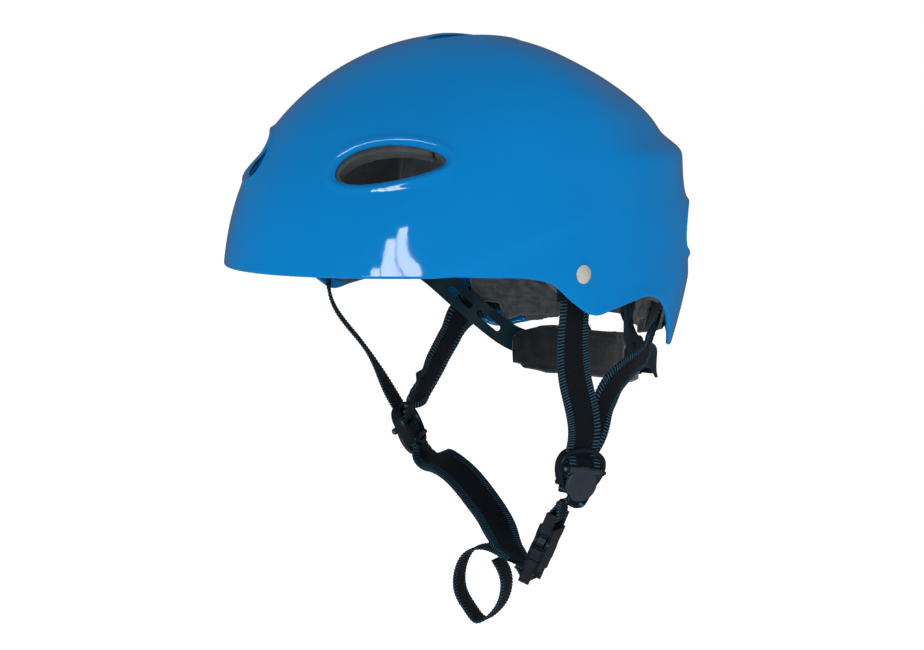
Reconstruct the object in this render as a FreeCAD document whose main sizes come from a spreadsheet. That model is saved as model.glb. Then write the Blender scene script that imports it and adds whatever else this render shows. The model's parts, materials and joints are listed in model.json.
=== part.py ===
import FreeCAD, Part

import math
import os

import Sketcher

from FreeCAD import Matrix, Placement, Rotation, Vector

# Water sports helmet: a glossy hard shell over a foam liner with comfort pads, a nape cradle that a dial tightens,
# and a webbing harness with two strap dividers and a side release buckle.
# Frame: millimetres, +Z up, the brow faces -Y and the wearer's left is +X. The origin is the point under the crown
# pad that the top of the wearer's head touches.

doc = FreeCAD.newDocument("water_helmet")

# ------------------------------------------------------------------ driving dimensions
SIZES = {
    # shell
    "half_width": 108.0,  # outer half width at the brim
    "half_length": 141.0,  # outer half length at the brim
    "width_rise": 110.5,  # crown above the level where the shell is widest
    "length_rise": 124.5,  # crown above the level where the shell is longest
    "crown_height": 24.0,  # outer crown above the origin
    "width_power": 2.2,  # 2 would be an ellipse, more is squarer
    "length_power": 2.15,
    "crown_slope": 0.137,  # how far the dome's middle moves back for every millimetre up
    "nape_tuck": 0.083,  # how fast the nape tucks in below the brim
    "shell_wall": 3.0,
    "liner_wall": 12.0,
    "seat_gap": 0.3,  # air between neighbouring layers
    "pad_wall": 8.4,
    "rear_pad_wall": 3.0,
    "liner_inset": 3.5,  # the foam stops this much short of the shell's edge
    # vents
    "vent_length": 58.0,
    "vent_height": 19.5,
    "top_vent_width": 19.0,
    # webbing
    "web_width": 20.0,
    "web_thick": 1.3,
    # rivets
    "rivet_head_radius": 5.0,
    "rivet_head_height": 1.7,
    "rivet_shank_radius": 2.2,
    "rivet_hole_radius": 2.35,
    "rivet_grip": 6.2,
    "rear_rivet_head_radius": 4.2,
    # strap hanger plates
    "hanger_width": 27.0,
    "hanger_height": 20.0,
    "hanger_thick": 1.6,
    "hanger_gap": 1.4,  # a flat plate against the curved wall
    # divider
    "divider_width": 30.0,
    "divider_height": 25.0,
    "divider_channel": 3.4,
    "divider_plate": 1.8,
    "divider_window": 21.4,
    "lever_radius": 9.8,
    "lever_thick": 2.6,
    "lever_pin_radius": 1.0,
    "lever_pin_gap": 0.06,
    # buckle
    "buckle_width": 26.5,
    "buckle_thick": 9.2,
    "socket_body": 19.0,  # mouth to the strap slot
    "socket_tail": 8.0,
    "cavity_width": 22.0,
    "cavity_thick": 5.8,
    "cavity_depth": 17.5,
    "notch_radius": 5.0,
    "plug_base": 13.5,
    "prong_reach": 16.5,
    # nape cradle
    "nape_pad_height": 28.5,
    "gearbox_length": 56.0,
    "gearbox_height": 22.0,
    "gearbox_base": 2.2,
    "gearbox_cover": 1.6,
    "rack_thick": 3.0,
    "rack_back": 9.2,  # from the dial's axis to the back of a rack
    "rack_inner_end": 16.0,
    "rack_outer_end": 39.0,
    "gear_module": 0.9,
    "gear_teeth": 12,
    "tooth_slack": 0.12,
    "knob_radius": 11.0,
    "knob_height": 4.8,
    "axle_radius": 3.0,
    "axle_gap": 0.08,
    "arm_width": 14.0,
    "arm_thick": 1.7,
}

sheet = doc.addObject("Spreadsheet::Sheet", "sizes")
for row, (alias, value) in enumerate(SIZES.items(), start=1):
    sheet.set(f"A{row}", alias)
    sheet.set(f"B{row}", str(value))
    sheet.setAlias(f"B{row}", alias)
doc.recompute()


def size(alias):
    """The value of a cell of the sheet."""
    return float(sheet.get(alias))


parts = []  # every sub-part, each written to its own file


def keep(obj, label):
    """Names a sub-part and puts it on the list of files to write."""
    obj.Label = label
    parts.append(obj)
    return obj


def bind(obj, **expressions):
    """Binds properties of obj to expressions of the sheet's cells."""
    for prop, expression in expressions.items():
        obj.setExpression(prop, expression)
    return obj


# ------------------------------------------------------------------ small helpers
def along(axis):
    """Picks straight edges that run along an axis."""
    direction = {"X": Vector(1, 0, 0), "Y": Vector(0, 1, 0), "Z": Vector(0, 0, 1)}[axis]

    def wanted(edge):
        if edge.Curve.TypeId != "Part::GeomLine":
            return False
        return abs(edge.tangentAt(edge.FirstParameter).dot(direction)) > 0.999

    return wanted


def feature(label, shape, placement=None):
    """A sub-part whose shape comes from Part's own functions."""
    made = doc.addObject("Part::Feature", label)
    made.Shape = shape
    if placement is not None:
        made.Placement = placement
    return keep(made, label)


def frame_at(origin, up, normal):
    """Placement with local Y along up and local Z along the normal, made square to it."""
    y = Vector(up).normalize()
    z = Vector(normal)
    z = (z - y * z.dot(y)).normalize()
    x = y.cross(z)
    turn = Matrix(x.x, y.x, z.x, 0, x.y, y.y, z.y, 0, x.z, y.z, z.z, 0, 0, 0, 0, 1)
    turned = Placement(turn)
    turned.Base = Vector(origin)
    return turned


def body(name):
    """A PartDesign body."""
    return doc.addObject("PartDesign::Body", name)


def plane_of(owner, role):
    """One of the body's own origin planes."""
    return next(f for f in owner.Origin.OriginFeatures if f.Role == role)


def sketch_on(owner, name, role, offset=0.0):
    """A sketch on one of the body's origin planes, moved along its normal."""
    made = owner.newObject("Sketcher::SketchObject", name)
    made.AttachmentSupport = (plane_of(owner, role), [""])
    made.MapMode = "FlatFace"
    made.AttachmentOffset = Placement(Vector(0, 0, offset), Rotation())
    return made


def draw_rectangle(sketch, width, height, centre=(0.0, 0.0)):
    """A rectangle about a centre, its two sides bound to expressions."""
    first = sketch.GeometryCount
    cx, cy = centre
    corners = [Vector(cx + sx, cy + sy, 0) for sx, sy in ((-1, -1), (1, -1), (1, 1), (-1, 1))]
    for i in range(4):
        sketch.addGeometry(Part.LineSegment(corners[i], corners[(i + 1) % 4]), False)
    for i in range(4):
        sketch.addConstraint(Sketcher.Constraint("Coincident", first + i, 2, first + (i + 1) % 4, 1))
    for i, kind in enumerate(("Horizontal", "Vertical", "Horizontal", "Vertical")):
        sketch.addConstraint(Sketcher.Constraint(kind, first + i))
    wide = sketch.addConstraint(Sketcher.Constraint("DistanceX", first, 1, first, 2, 2.0))
    tall = sketch.addConstraint(Sketcher.Constraint("DistanceY", first + 1, 1, first + 1, 2, 2.0))
    sketch.setExpression(f"Constraints[{wide}]", width)
    sketch.setExpression(f"Constraints[{tall}]", height)
    left = sketch.addConstraint(Sketcher.Constraint("DistanceX", -1, 1, first, 1, cx - 1.0))
    low = sketch.addConstraint(Sketcher.Constraint("DistanceY", -1, 1, first, 1, cy - 1.0))
    sketch.setExpression(f"Constraints[{left}]", f"{cx} - ({width}) / 2")
    sketch.setExpression(f"Constraints[{low}]", f"{cy} - ({height}) / 2")


def draw_circle(sketch, radius, centre=(0.0, 0.0)):
    """A circle whose radius is bound to an expression."""
    index = sketch.addGeometry(Part.Circle(Vector(*centre, 0), Vector(0, 0, 1), 1.0), False)
    bound = sketch.addConstraint(Sketcher.Constraint("Radius", index, 1.0))
    sketch.setExpression(f"Constraints[{bound}]", radius)
    if centre == (0.0, 0.0):
        sketch.addConstraint(Sketcher.Constraint("Coincident", index, 3, -1, 1))
    else:
        sketch.addConstraint(Sketcher.Constraint("DistanceX", -1, 1, index, 3, centre[0]))
        sketch.addConstraint(Sketcher.Constraint("DistanceY", -1, 1, index, 3, centre[1]))


def draw_outline(sketch, points):
    """A closed outline of straight runs."""
    for i, point in enumerate(points):
        following = points[(i + 1) % len(points)]
        sketch.addGeometry(Part.LineSegment(Vector(*point, 0), Vector(*following, 0)), False)


def pad(owner, sketch, length, middle=False, back=False):
    """Pads a sketch by a bound length."""
    made = owner.newObject("PartDesign::Pad", sketch.Name + "_pad")
    made.Profile = sketch
    made.setExpression("Length", length)
    made.Midplane = middle
    made.Reversed = back
    owner.Tip = made
    doc.recompute()
    return made


def pocket(owner, sketch, length, middle=True, back=False):
    """Cuts a sketch away and stops the macro if nothing came off."""
    before = owner.Shape.Volume
    made = owner.newObject("PartDesign::Pocket", sketch.Name + "_pocket")
    made.Profile = sketch
    made.setExpression("Length", length)
    made.Midplane = middle
    made.Reversed = back
    owner.Tip = made
    doc.recompute()
    if owner.Shape.Volume > before - 0.01:
        raise RuntimeError(f"{sketch.Name} cut nothing")
    return made


def revolve(owner, sketch, axis="V_Axis"):
    """Turns a sketch a full turn about one of its own axes."""
    made = owner.newObject("PartDesign::Revolution", sketch.Name + "_turned")
    made.Profile = sketch
    made.ReferenceAxis = (sketch, [axis])
    made.Angle = 360.0
    owner.Tip = made
    doc.recompute()
    return made


def polar(owner, features, sketch, count):
    """Repeats features about the sketch's normal."""
    made = owner.newObject("PartDesign::PolarPattern", features[0].Name + "_ring")
    made.Originals = features
    made.Axis = (sketch, ["N_Axis"])
    made.Angle = 360.0
    made.Occurrences = count
    owner.Tip = made
    doc.recompute()
    return made


# ------------------------------------------------------------------ the dome and its layers
RIM_Z = -101.0  # the brim's edge
NECK_Z = -97.0  # the dome's middle moves back above this level and forward below it
SKIRT_Z = RIM_Z - 70.0  # below every trimmed edge


def centre_line(z):
    """How far back the middle of the dome lies at a height."""
    if z > NECK_Z:
        return size("crown_slope") * (z - NECK_Z)
    return -size("nape_tuck") * (NECK_Z - z) ** 1.35


def reach(half, rise, power, inset, z):
    """Half size of the dome at a height, drawn in from the outer surface by inset."""
    up = (z - size("crown_height") + rise) / (rise - inset)
    if up <= 0:
        return half - inset
    return (half - inset) * max(0.0, 1.0 - up**power) ** (1.0 / power)


def half_wide(inset, z):
    """Half width of the dome at a height."""
    return reach(size("half_width"), size("width_rise"), size("width_power"), inset, z)


def half_long(inset, z):
    """Half length of the dome at a height."""
    return reach(size("half_length"), size("length_rise"), size("length_power"), inset, z)


def dome(inset):
    """Solid dome, closed at the crown and running down below the brim."""
    rise = size("length_rise") - inset
    levels = []
    for degrees in (3, 8, 15, 24, 34, 45, 56, 67, 78):
        levels.append(size("crown_height") - inset - rise * (1 - math.cos(math.radians(degrees)) ** 0.92))
    levels += [RIM_Z + 4, RIM_Z - 8, RIM_Z - 20, RIM_Z - 34, RIM_Z - 52, SKIRT_Z]
    wires = []
    for z in levels:
        middle = Vector(0, centre_line(z), z)
        long_end = middle + Vector(0, half_long(inset, z), 0)
        short_end = middle + Vector(half_wide(inset, z), 0, 0)
        wires.append(Part.Wire([Part.Ellipse(long_end, short_end, middle).toShape()]))
    return Part.makeLoft(wires, True, False)


# Height of the shell's edge seen from the side, front to back: level over the brow, down to the ear flap, up over
# the ear, down to the point behind it and up again over the nape.
EDGE_LINE = [
    (-170, -101), (-110, -101), (-62, -101.6), (-42, -103), (-27, -107), (-14, -117), (-1, -124), (14, -121.8),
    (32, -118.6), (48, -117.4), (60, -121.5), (70, -129), (80, -141), (90, -148.7), (102, -147), (120, -139.5),
    (136, -136), (170, -136),
]  # fmt: skip


def below_edge(lift, brow_lift=0.0):
    """Everything under the edge line, raised by lift, and by brow_lift more over the brow."""
    points = []
    for y, z in EDGE_LINE:
        over_brow = max(0.0, min(1.0, (-30.0 - y) / 40.0))
        points.append(Vector(-150, y, z + lift + brow_lift * over_brow))
    curve = Part.BSplineCurve()
    curve.interpolate(points)
    first, last = points[0], points[-1]
    low = -220.0
    sides = [
        Part.LineSegment(last, Vector(-150, last.y, low)).toShape(),
        Part.LineSegment(Vector(-150, last.y, low), Vector(-150, first.y, low)).toShape(),
        Part.LineSegment(Vector(-150, first.y, low), first).toShape(),
    ]
    return Part.Face(Part.Wire([curve.toShape(), *sides])).extrude(Vector(300, 0, 0))


def eye(length, height, grow=0.0):
    """Eye-shaped outline about the origin: long along X, one end blunt, the upper side fuller than the lower."""
    points = []
    count = 16
    for i in range(count):
        angle = 2 * math.pi * i / count
        reach = (length / 2 + grow) * math.cos(angle)
        fullness = 1.15 if math.sin(angle) > 0 else 0.85
        taper = 1.0 - 0.22 * math.cos(angle)
        points.append(Vector(reach, (height / 2 + grow) * fullness * math.sin(angle) * taper, 0))
    curve = Part.BSplineCurve()
    curve.interpolate(points, PeriodicFlag=True)
    return Part.Face(Part.Wire(curve.toShape()))


def prism_at(face, origin, long_way, normal, inward, outward):
    """The face set at a point with its X along long_way, swept both ways along the normal."""
    z = Vector(normal).normalize()
    x = Vector(long_way)
    x = (x - z * x.dot(z)).normalize()
    y = z.cross(x)
    turn = Matrix(x.x, y.x, z.x, 0, x.y, y.y, z.y, 0, x.z, y.z, z.z, 0, 0, 0, 0, 1)
    set_at = Placement(turn)
    set_at.Base = Vector(origin) - z * inward
    placed = face.copy()
    placed.Placement = set_at
    return placed.extrude(z * (inward + outward))


def mirrored(shape):
    """The same on the other side of the wearer."""
    return shape.mirror(Vector(0, 0, 0), Vector(1, 0, 0))


FRONT_VENT = ((52.6, -96.5, -43.5), (0.766, 0.625, 0.165), (0.56, -0.70, 0.44))
REAR_VENT = ((58.5, 117.0, -87.0), (-0.768, 0.640, 0.0), (0.640, 0.768, 0.05))
TOP_VENT = ((0.0, 7.0, 20.0), (0.0, -1.0, 0.0), (0.0, 0.0, 1.0))


def vent_cutters(grow):
    """The five vents as prisms through shell and liner."""
    side_face = eye(size("vent_length"), size("vent_height"), grow)
    top_face = eye(size("vent_length"), size("top_vent_width"), grow)
    front = prism_at(side_face, *FRONT_VENT, 40, 25)
    rear = prism_at(side_face, *REAR_VENT, 36, 25)
    top = prism_at(top_face, *TOP_VENT, 30, 20)
    return [front, mirrored(front), rear, mirrored(rear), top]


WALL = size("shell_wall")
GAP = size("seat_gap")
LINER_OUT = WALL + GAP
LINER_IN = LINER_OUT + size("liner_wall")
PAD_OUT = LINER_IN + GAP


def wall_x(y, z, inset):
    """How far out the dome's wall is at a place."""
    share = (y - centre_line(z)) / half_long(inset, z)
    return half_wide(inset, z) * math.sqrt(1.0 - share * share)


SIDE_RIVET = Vector(wall_x(-8.5, RIM_Z - 1, 0), -8.5, RIM_Z - 1)
REAR_RIVET_Y = 95.0
REAR_RIVET_Z = -127.0
REAR_RIVET = Vector(wall_x(REAR_RIVET_Y, REAR_RIVET_Z, 0), REAR_RIVET_Y, REAR_RIVET_Z)


def wall_normal(point):
    """Outward normal of the dome's wall at a point near or below the brim."""
    across_share = point.x / size("half_width") ** 2
    along_share = (point.y - centre_line(point.z)) / size("half_length") ** 2
    slope = centre_line(point.z + 0.5) - centre_line(point.z - 0.5)
    return Vector(across_share, along_share, -along_share * slope).normalize()


def hole_through(point):
    """A rivet hole through the wall."""
    out = wall_normal(point)
    return Part.makeCylinder(size("rivet_hole_radius"), 14, point - out * 8, out)


def hanger_room(point, down, deep=9.0, ahead=0.0):
    """Room in the foam for a hanger plate and the webbing below it, reaching ahead towards the ear."""
    out = wall_normal(point)
    out = (out - Vector(0, 0, out.z)).normalize()
    along_wall = Vector(0, 0, 1).cross(out)
    half = size("hanger_width") / 2 + 4.0
    corner = point - out * deep - along_wall * half + Vector(0, 0, 9.0)
    back, low = along_wall * half * 2, Vector(0, 0, -down)
    front = along_wall * -ahead
    loop = Part.makePolygon([corner, corner + back, corner + back + low, corner + front + low,
                             corner + front - Vector(0, 0, 14.0 if ahead else 0.0), corner])  # fmt: skip
    return Part.Face(loop).extrude(out * (deep + 6.0))


def build_shell():
    """Hard shell with its vents, rivet holes and trimmed edge."""
    shape = dome(0).cut(dome(WALL)).cut(below_edge(0))
    holes = [hole_through(p) for p in (SIDE_RIVET, REAR_RIVET)]
    return shape.cut(vent_cutters(0.0) + holes + [mirrored(hole) for hole in holes])


def liner_joins():
    """Thin slots between the liner's panels: one level ring under the crown and four upright ones."""
    ring = Part.makeBox(300, 340, 0.5, Vector(-150, -170, CROWN_PANEL_Z))
    joins = [ring]
    for angle in LINER_JOINS:
        upright = Part.makeBox(200, 0.5, 200, Vector(0, -0.25, CROWN_PANEL_Z - 200))
        upright.Placement = Placement(Vector(0, 6, 0), Rotation(Vector(0, 0, 1), angle)).multiply(upright.Placement)
        joins.append(upright)
    return joins


CROWN_PANEL_Z = -22.0
LINER_JOINS = (-52.0, 50.0, 130.0, 232.0)  # degrees round the head from the wearer's left


def build_liner():
    """Foam liner with the same vents and room for the strap hangers, cut into its panels."""
    shape = dome(LINER_OUT).cut(dome(LINER_IN)).cut(below_edge(size("liner_inset"), 2.0))
    rooms = [hanger_room(SIDE_RIVET, 60), hanger_room(REAR_RIVET, 60, 20.0, 24.0)]
    return shape.cut(vent_cutters(-1.2) + rooms + [mirrored(room) for room in rooms] + liner_joins())


def panel_name(panel):
    """Which panel of the liner a solid is."""
    middle = panel.CenterOfMass
    if middle.z > CROWN_PANEL_Z:
        return "foam_crown"
    if abs(middle.x) > abs(middle.y - 6):
        return "foam_left" if middle.x > 0 else "foam_right"
    return "foam_front" if middle.y < 0 else "foam_rear"


feature("outer_shell", build_shell())
for panel in build_liner().Solids:
    if panel.Volume > 1000:
        feature(panel_name(panel), panel)


# ------------------------------------------------------------------ comfort pads
def pad_layer(thick):
    """A layer against the foam that comfort pads are cut from."""
    return dome(PAD_OUT).cut(dome(PAD_OUT + thick))


def pad_in(window, label, layer):
    """One pad: the layer inside a window."""
    shape = layer.common(window)
    solids = sorted(shape.Solids, key=lambda s: s.Volume)
    return feature(label, solids[-1])


def slab(low, high):
    """An axis-aligned window."""
    return Part.makeBox(high[0] - low[0], high[1] - low[1], high[2] - low[2], Vector(*low))


layer = pad_layer(size("pad_wall"))
pad_in(slab((-42, -150, -96), (42, -60, -62)), "front_pad", layer)
rear_window = slab((-95, 72, -143.0), (95, 150, -112))
rear_edge = below_edge(1.0)
rear_edge.translate(Vector(0, -9, 0))
cradle_way = slab((-25, 72, -150), (25, 150, -137))
nape_way = slab((-51, 72, -150), (51, 150, -141.5))
arm_ways = [slab((-120, 60, -200), (-46, 84, -134)), slab((46, 60, -200), (120, 84, -134))]
rear_window = rear_window.cut([rear_edge, cradle_way, nape_way, *arm_ways])
pad_in(rear_window, "rear_pad", pad_layer(size("rear_pad_wall")))
for side, label in ((1, "left"), (-1, "right")):
    near, far = sorted((side * 50, side * 120))
    pad_in(slab((near, -34, -88), (far, 30, -44)), f"side_pad_{label}", layer)


def crown_bar(angle):
    """One bar of the crown pad: a rounded strip that crosses the crown beside the vent."""
    strip = Part.makeBox(20, 92, 60, Vector(-10, -46, -30))
    strip.Placement = Placement(Vector(angle, 7, 0), Rotation())
    return strip


crown = layer.common(crown_bar(-27).fuse(crown_bar(27)))
crown_link = layer.common(Part.makeBox(40, 14, 40, Vector(-20, 40, -20)))
feature("crown_pad", crown.fuse(crown_link).removeSplitter())


# ------------------------------------------------------------------ rivets and strap hangers
def rivet_outline(head_radius):
    """Half outline of a domed rivet about its own axis, head up, shoulder at zero."""
    height = size("rivet_head_height")
    shank = size("rivet_shank_radius")
    grip = size("rivet_grip")
    flare = shank + 1.4
    return head_radius, height, shank, grip, flare


def make_rivet(label, head_radius_cell, point):
    """Domed rivet with a flared inner end, turned from one outline."""
    head_radius, height, shank, grip, flare = rivet_outline(size(head_radius_cell))
    owner = body(label)
    profile = sketch_on(owner, label + "_outline", "XZ_Plane")
    side = Part.Arc(Vector(0, height, 0), Vector(head_radius * 0.62, height * 0.74, 0), Vector(head_radius, 0.35, 0))
    profile.addGeometry(side, False)
    corners = [(head_radius, 0.35), (head_radius, 0), (shank, 0), (shank, -grip), (flare, -grip),
               (flare, -grip - 0.9), (0, -grip - 0.9), (0, height)]  # fmt: skip
    for a, b in zip(corners, corners[1:]):
        profile.addGeometry(Part.LineSegment(Vector(*a, 0), Vector(*b, 0)), False)
    revolve(owner, profile)
    out = wall_normal(point)
    seat = point + out * 0.12
    owner.Placement = Placement(seat, Rotation(Vector(0, 0, 1), out))
    return keep(owner, label)


def make_hanger(label, point):
    """Moulded plate that the rivet holds against the shell's inside, with a slot for the webbing."""
    owner = body(label)
    plate = sketch_on(owner, label + "_plate", "XY_Plane")
    draw_rectangle(plate, "sizes.hanger_width", "sizes.hanger_height", (0.0, -4.0))
    pad(owner, plate, "sizes.hanger_thick", back=True)
    hole = sketch_on(owner, label + "_hole", "XY_Plane")
    draw_circle(hole, "sizes.rivet_shank_radius + 0.1")
    pocket(owner, hole, "20")
    slot = sketch_on(owner, label + "_slot", "XY_Plane")
    draw_rectangle(slot, "sizes.web_width + 1.4", "4.2", (0.0, -9.2))
    pocket(owner, slot, "20")
    out = wall_normal(point)
    seat = point - out * (WALL + size("hanger_gap"))
    owner.Placement = frame_at(seat, Vector(0, 0, 1) - out * out.z, out)
    return keep(owner, label)


def other_side(point):
    """A point mirrored to the wearer's right."""
    return Vector(-point.x, point.y, point.z)


for label, point in (("left", SIDE_RIVET), ("right", other_side(SIDE_RIVET))):
    make_rivet(f"side_rivet_{label}", "rivet_head_radius", point)
    make_hanger(f"front_strap_hanger_{label}", point)
for label, point in (("left", REAR_RIVET), ("right", other_side(REAR_RIVET))):
    make_rivet(f"rear_rivet_{label}", "rear_rivet_head_radius", point)
    make_hanger(f"rear_strap_hanger_{label}", point)


# ------------------------------------------------------------------ places of the harness hardware
DIVIDER_LEFT = frame_at((81, 14, -212), (0.22, 0.12, 0.965), (0.96, -0.20, -0.18))
DIVIDER_RIGHT = frame_at((-72, 27, -202), (-0.35, -0.34, 0.87), (-0.75, -0.44, -0.48))
BUCKLE = frame_at((63.9, 0.6, -259), (0.33, 0.22, 0.92), (0.788, 0.474, -0.390))
NAPE = frame_at((0, 106.6, -160), (0, 0, 1), (0, 1, 0))


def at(frame, x, y, z):
    """A point given in a hardware frame."""
    return frame.multVec(Vector(x, y, z))


def across(frame):
    """A hardware frame's width direction."""
    return frame.Rotation.multVec(Vector(1, 0, 0))


def strip_frame(route, share):
    """Point, direction and width direction at a share of the way along a route of (point, width direction)."""
    points = [Vector(p) for p, _ in route]
    curve = Part.BSplineCurve()
    curve.interpolate(points)
    marks = [curve.parameter(p) for p in points]
    u = curve.FirstParameter + (curve.LastParameter - curve.FirstParameter) * share
    j = min(max([k for k, mark in enumerate(marks) if mark <= u + 1e-9] or [0]), len(marks) - 2)
    step = min(1.0, max(0.0, (u - marks[j]) / (marks[j + 1] - marks[j])))
    step = step * step * (3 - 2 * step)
    wide = Vector(route[j][1]).normalize() * (1 - step) + Vector(route[j + 1][1]).normalize() * step
    tangent = curve.tangent(u)[0]
    wide = (wide - tangent * wide.dot(tangent)).normalize()
    return curve.value(u), tangent, wide


def flat_strip(route, count, width, thick):
    """Flat strip along a route, as a loft through its cross sections."""
    wires = []
    for i in range(count):
        middle, tangent, wide = strip_frame(route, i / (count - 1))
        flat = tangent.cross(wide)
        corners = [middle + wide * (sx * width / 2) + flat * (sy * thick / 2)
                   for sx, sy in ((-1, -1), (1, -1), (1, 1), (-1, 1))]  # fmt: skip
        wires.append(Part.makePolygon([*corners, corners[0]]))
    return Part.makeLoft(wires, True, True)


# ------------------------------------------------------------------ strap dividers
def make_divider(label, placement):
    """Divider: a flat sleeve for both runs of webbing, a window in its outer plate and two ears for the lever's pin."""
    owner = body(label)
    outline = sketch_on(owner, label + "_outline", "XY_Plane")
    half_w = size("divider_width") / 2
    half_h = size("divider_height") / 2
    low, high = half_w - 2.6, half_h - 5.0
    arch = Part.Arc(Vector(half_w, high, 0), Vector(0, half_h + 1.5, 0), Vector(-half_w, high, 0))
    outline.addGeometry(arch, False)
    corners = [(-half_w, high), (-half_w, -4), (-low, -half_h), (low, -half_h), (half_w, -4), (half_w, high)]
    for a, b in zip(corners, corners[1:]):
        outline.addGeometry(Part.LineSegment(Vector(*a, 0), Vector(*b, 0)), False)
    pad(owner, outline, "sizes.divider_channel + 2 * sizes.divider_plate", middle=True)
    channel = sketch_on(owner, label + "_channel", "XZ_Plane")
    draw_rectangle(channel, "sizes.divider_window", "sizes.divider_channel")
    pocket(owner, channel, "80")
    window = sketch_on(owner, label + "_window", "XY_Plane")
    draw_rectangle(window, "sizes.divider_window - 3", "5", (0.0, 7.6))
    pocket(owner, window, "20")
    ears = sketch_on(owner, label + "_ears", "XY_Plane", size("divider_channel") / 2 + size("divider_plate"))
    for side in (-1, 1):
        draw_rectangle(ears, "2.4", "5", (side * 12.1, 2.0))
    pad(owner, ears, "4.4")
    bore = sketch_on(owner, label + "_pin_bore", "YZ_Plane")
    draw_circle(bore, "sizes.lever_pin_radius + 0.02", LEVER_AXIS)
    pocket(owner, bore, "40")
    owner.Placement = placement
    return keep(owner, label)


LEVER_AXIS = (2.0, 5.7)  # in the divider's frame: up, and out from its middle


def make_lever(label, placement):
    """Round lock lever with a hub that turns on the pin."""
    owner = body(label)
    disc = sketch_on(owner, label + "_disc", "XY_Plane", 3.9)
    reach = size("lever_radius")
    centre = -5.6
    flat = LEVER_AXIS[0]
    half = math.sqrt(reach**2 - (flat - centre) ** 2)
    arc = Part.Arc(Vector(-half, flat, 0), Vector(0, centre - reach, 0), Vector(half, flat, 0))
    disc.addGeometry(arc, False)
    disc.addGeometry(Part.LineSegment(Vector(half, flat, 0), Vector(-half, flat, 0)), False)
    pad(owner, disc, "sizes.lever_thick")
    hub = sketch_on(owner, label + "_hub", "YZ_Plane")
    draw_circle(hub, "2.0", LEVER_AXIS)
    pad(owner, hub, "20.6", middle=True)
    bore = sketch_on(owner, label + "_bore", "YZ_Plane")
    draw_circle(bore, "sizes.lever_pin_radius + sizes.lever_pin_gap", LEVER_AXIS)
    pocket(owner, bore, "40")
    owner.Placement = placement
    return keep(owner, label)


def make_lever_pin(label, placement):
    """Pin the lever turns on, held in both ears."""
    owner = body(label)
    profile = sketch_on(owner, label + "_profile", "YZ_Plane")
    draw_circle(profile, "sizes.lever_pin_radius", LEVER_AXIS)
    pad(owner, profile, "26.4", middle=True)
    owner.Placement = placement
    return keep(owner, label)


for label, placement in (("left", DIVIDER_LEFT), ("right", DIVIDER_RIGHT)):
    make_divider(f"divider_{label}", placement)
    make_lever(f"divider_lever_{label}", placement)
    make_lever_pin(f"lever_pin_{label}", placement)


# ------------------------------------------------------------------ side release buckle
BAR_RADIUS = 1.5
SOCKET_BAR = 24.6  # up from the mouth
PLUG_BAR = -10.6


def local_box(width, low, high, thick, x=0.0, z=0.0):
    """A box across the buckle: width along X, from low to high along Y, centred at x and z."""
    return Part.makeBox(width, high - low, thick, Vector(x - width / 2, low, z - thick / 2))


def softened(shape, radius, wanted):
    """The shape with the wanted edges rounded."""
    return shape.makeFillet(radius, [edge for edge in shape.Edges if wanted(edge)])


def strap_bar(height):
    """Round bar across the buckle."""
    return Part.makeCylinder(BAR_RADIUS, size("buckle_width") - 2, Vector(-size("buckle_width") / 2 + 1, height, 0),
                             Vector(1, 0, 0))  # fmt: skip


def build_socket():
    """Female half: a shell with a mouth below, a window in each side and a strap bar above."""
    width, thick, body_top = size("buckle_width"), size("buckle_thick"), size("socket_body")
    top = body_top + size("socket_tail")
    outside = softened(local_box(width, 0, body_top, thick), 2.6, along("Y"))
    cheeks = [local_box(2.4, body_top - 3, top, 6.0, x=side * (width / 2 - 1.2)) for side in (-1, 1)]
    shape = outside.fuse([*cheeks, strap_bar(SOCKET_BAR)])
    cavity = local_box(size("cavity_width"), -1, size("cavity_depth"), size("cavity_thick"))
    notches = []
    for side in (-1, 1):
        centre = Vector(side * (width / 2 + 1.4), 10.8, -thick)
        notches.append(Part.makeCylinder(size("notch_radius"), 2 * thick, centre))
    shape = shape.cut([cavity, *notches])
    return shape.removeSplitter()


def build_plug():
    """Male half: base with a strap bar and a middle tongue that guides it into the mouth."""
    width, thick = size("buckle_width"), size("buckle_thick") - 0.6
    low = -0.4 - size("plug_base")
    base = softened(local_box(width, low, -0.4, thick), 2.4, along("Y"))
    room = local_box(size("cavity_width"), low - 1, -6.2, 2 * thick)
    thin = [local_box(width + 2, low - 1, -6.2, 4, z=side * 5.0) for side in (-1, 1)]
    tongue = local_box(4.6, -2, 14.5, 4.4)
    shape = base.cut([room, *thin]).fuse([strap_bar(PLUG_BAR), tongue])
    return shape.removeSplitter()


def build_prong(side):
    """One springy prong of the plug with the pad that shows in the socket's side window."""
    root = -0.35
    corners = [(6.4, root), (9.0, root), (8.9, 6.9), (11.6, 8.0), (11.9, 9.6), (11.6, 12.6), (9.9, 15.6), (7.8, 16.2),
               (6.6, 14.0), (6.2, 7.0)]  # fmt: skip
    points = [Vector(side * x, y, -2.2) for x, y in corners]
    return Part.Face(Part.makePolygon([*points, points[0]])).extrude(Vector(0, 0, 4.4))


feature("buckle_socket", build_socket(), BUCKLE)
feature("buckle_plug", build_plug(), BUCKLE)
feature("buckle_prong_left", build_prong(1), BUCKLE)
feature("buckle_prong_right", build_prong(-1), BUCKLE)


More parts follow.
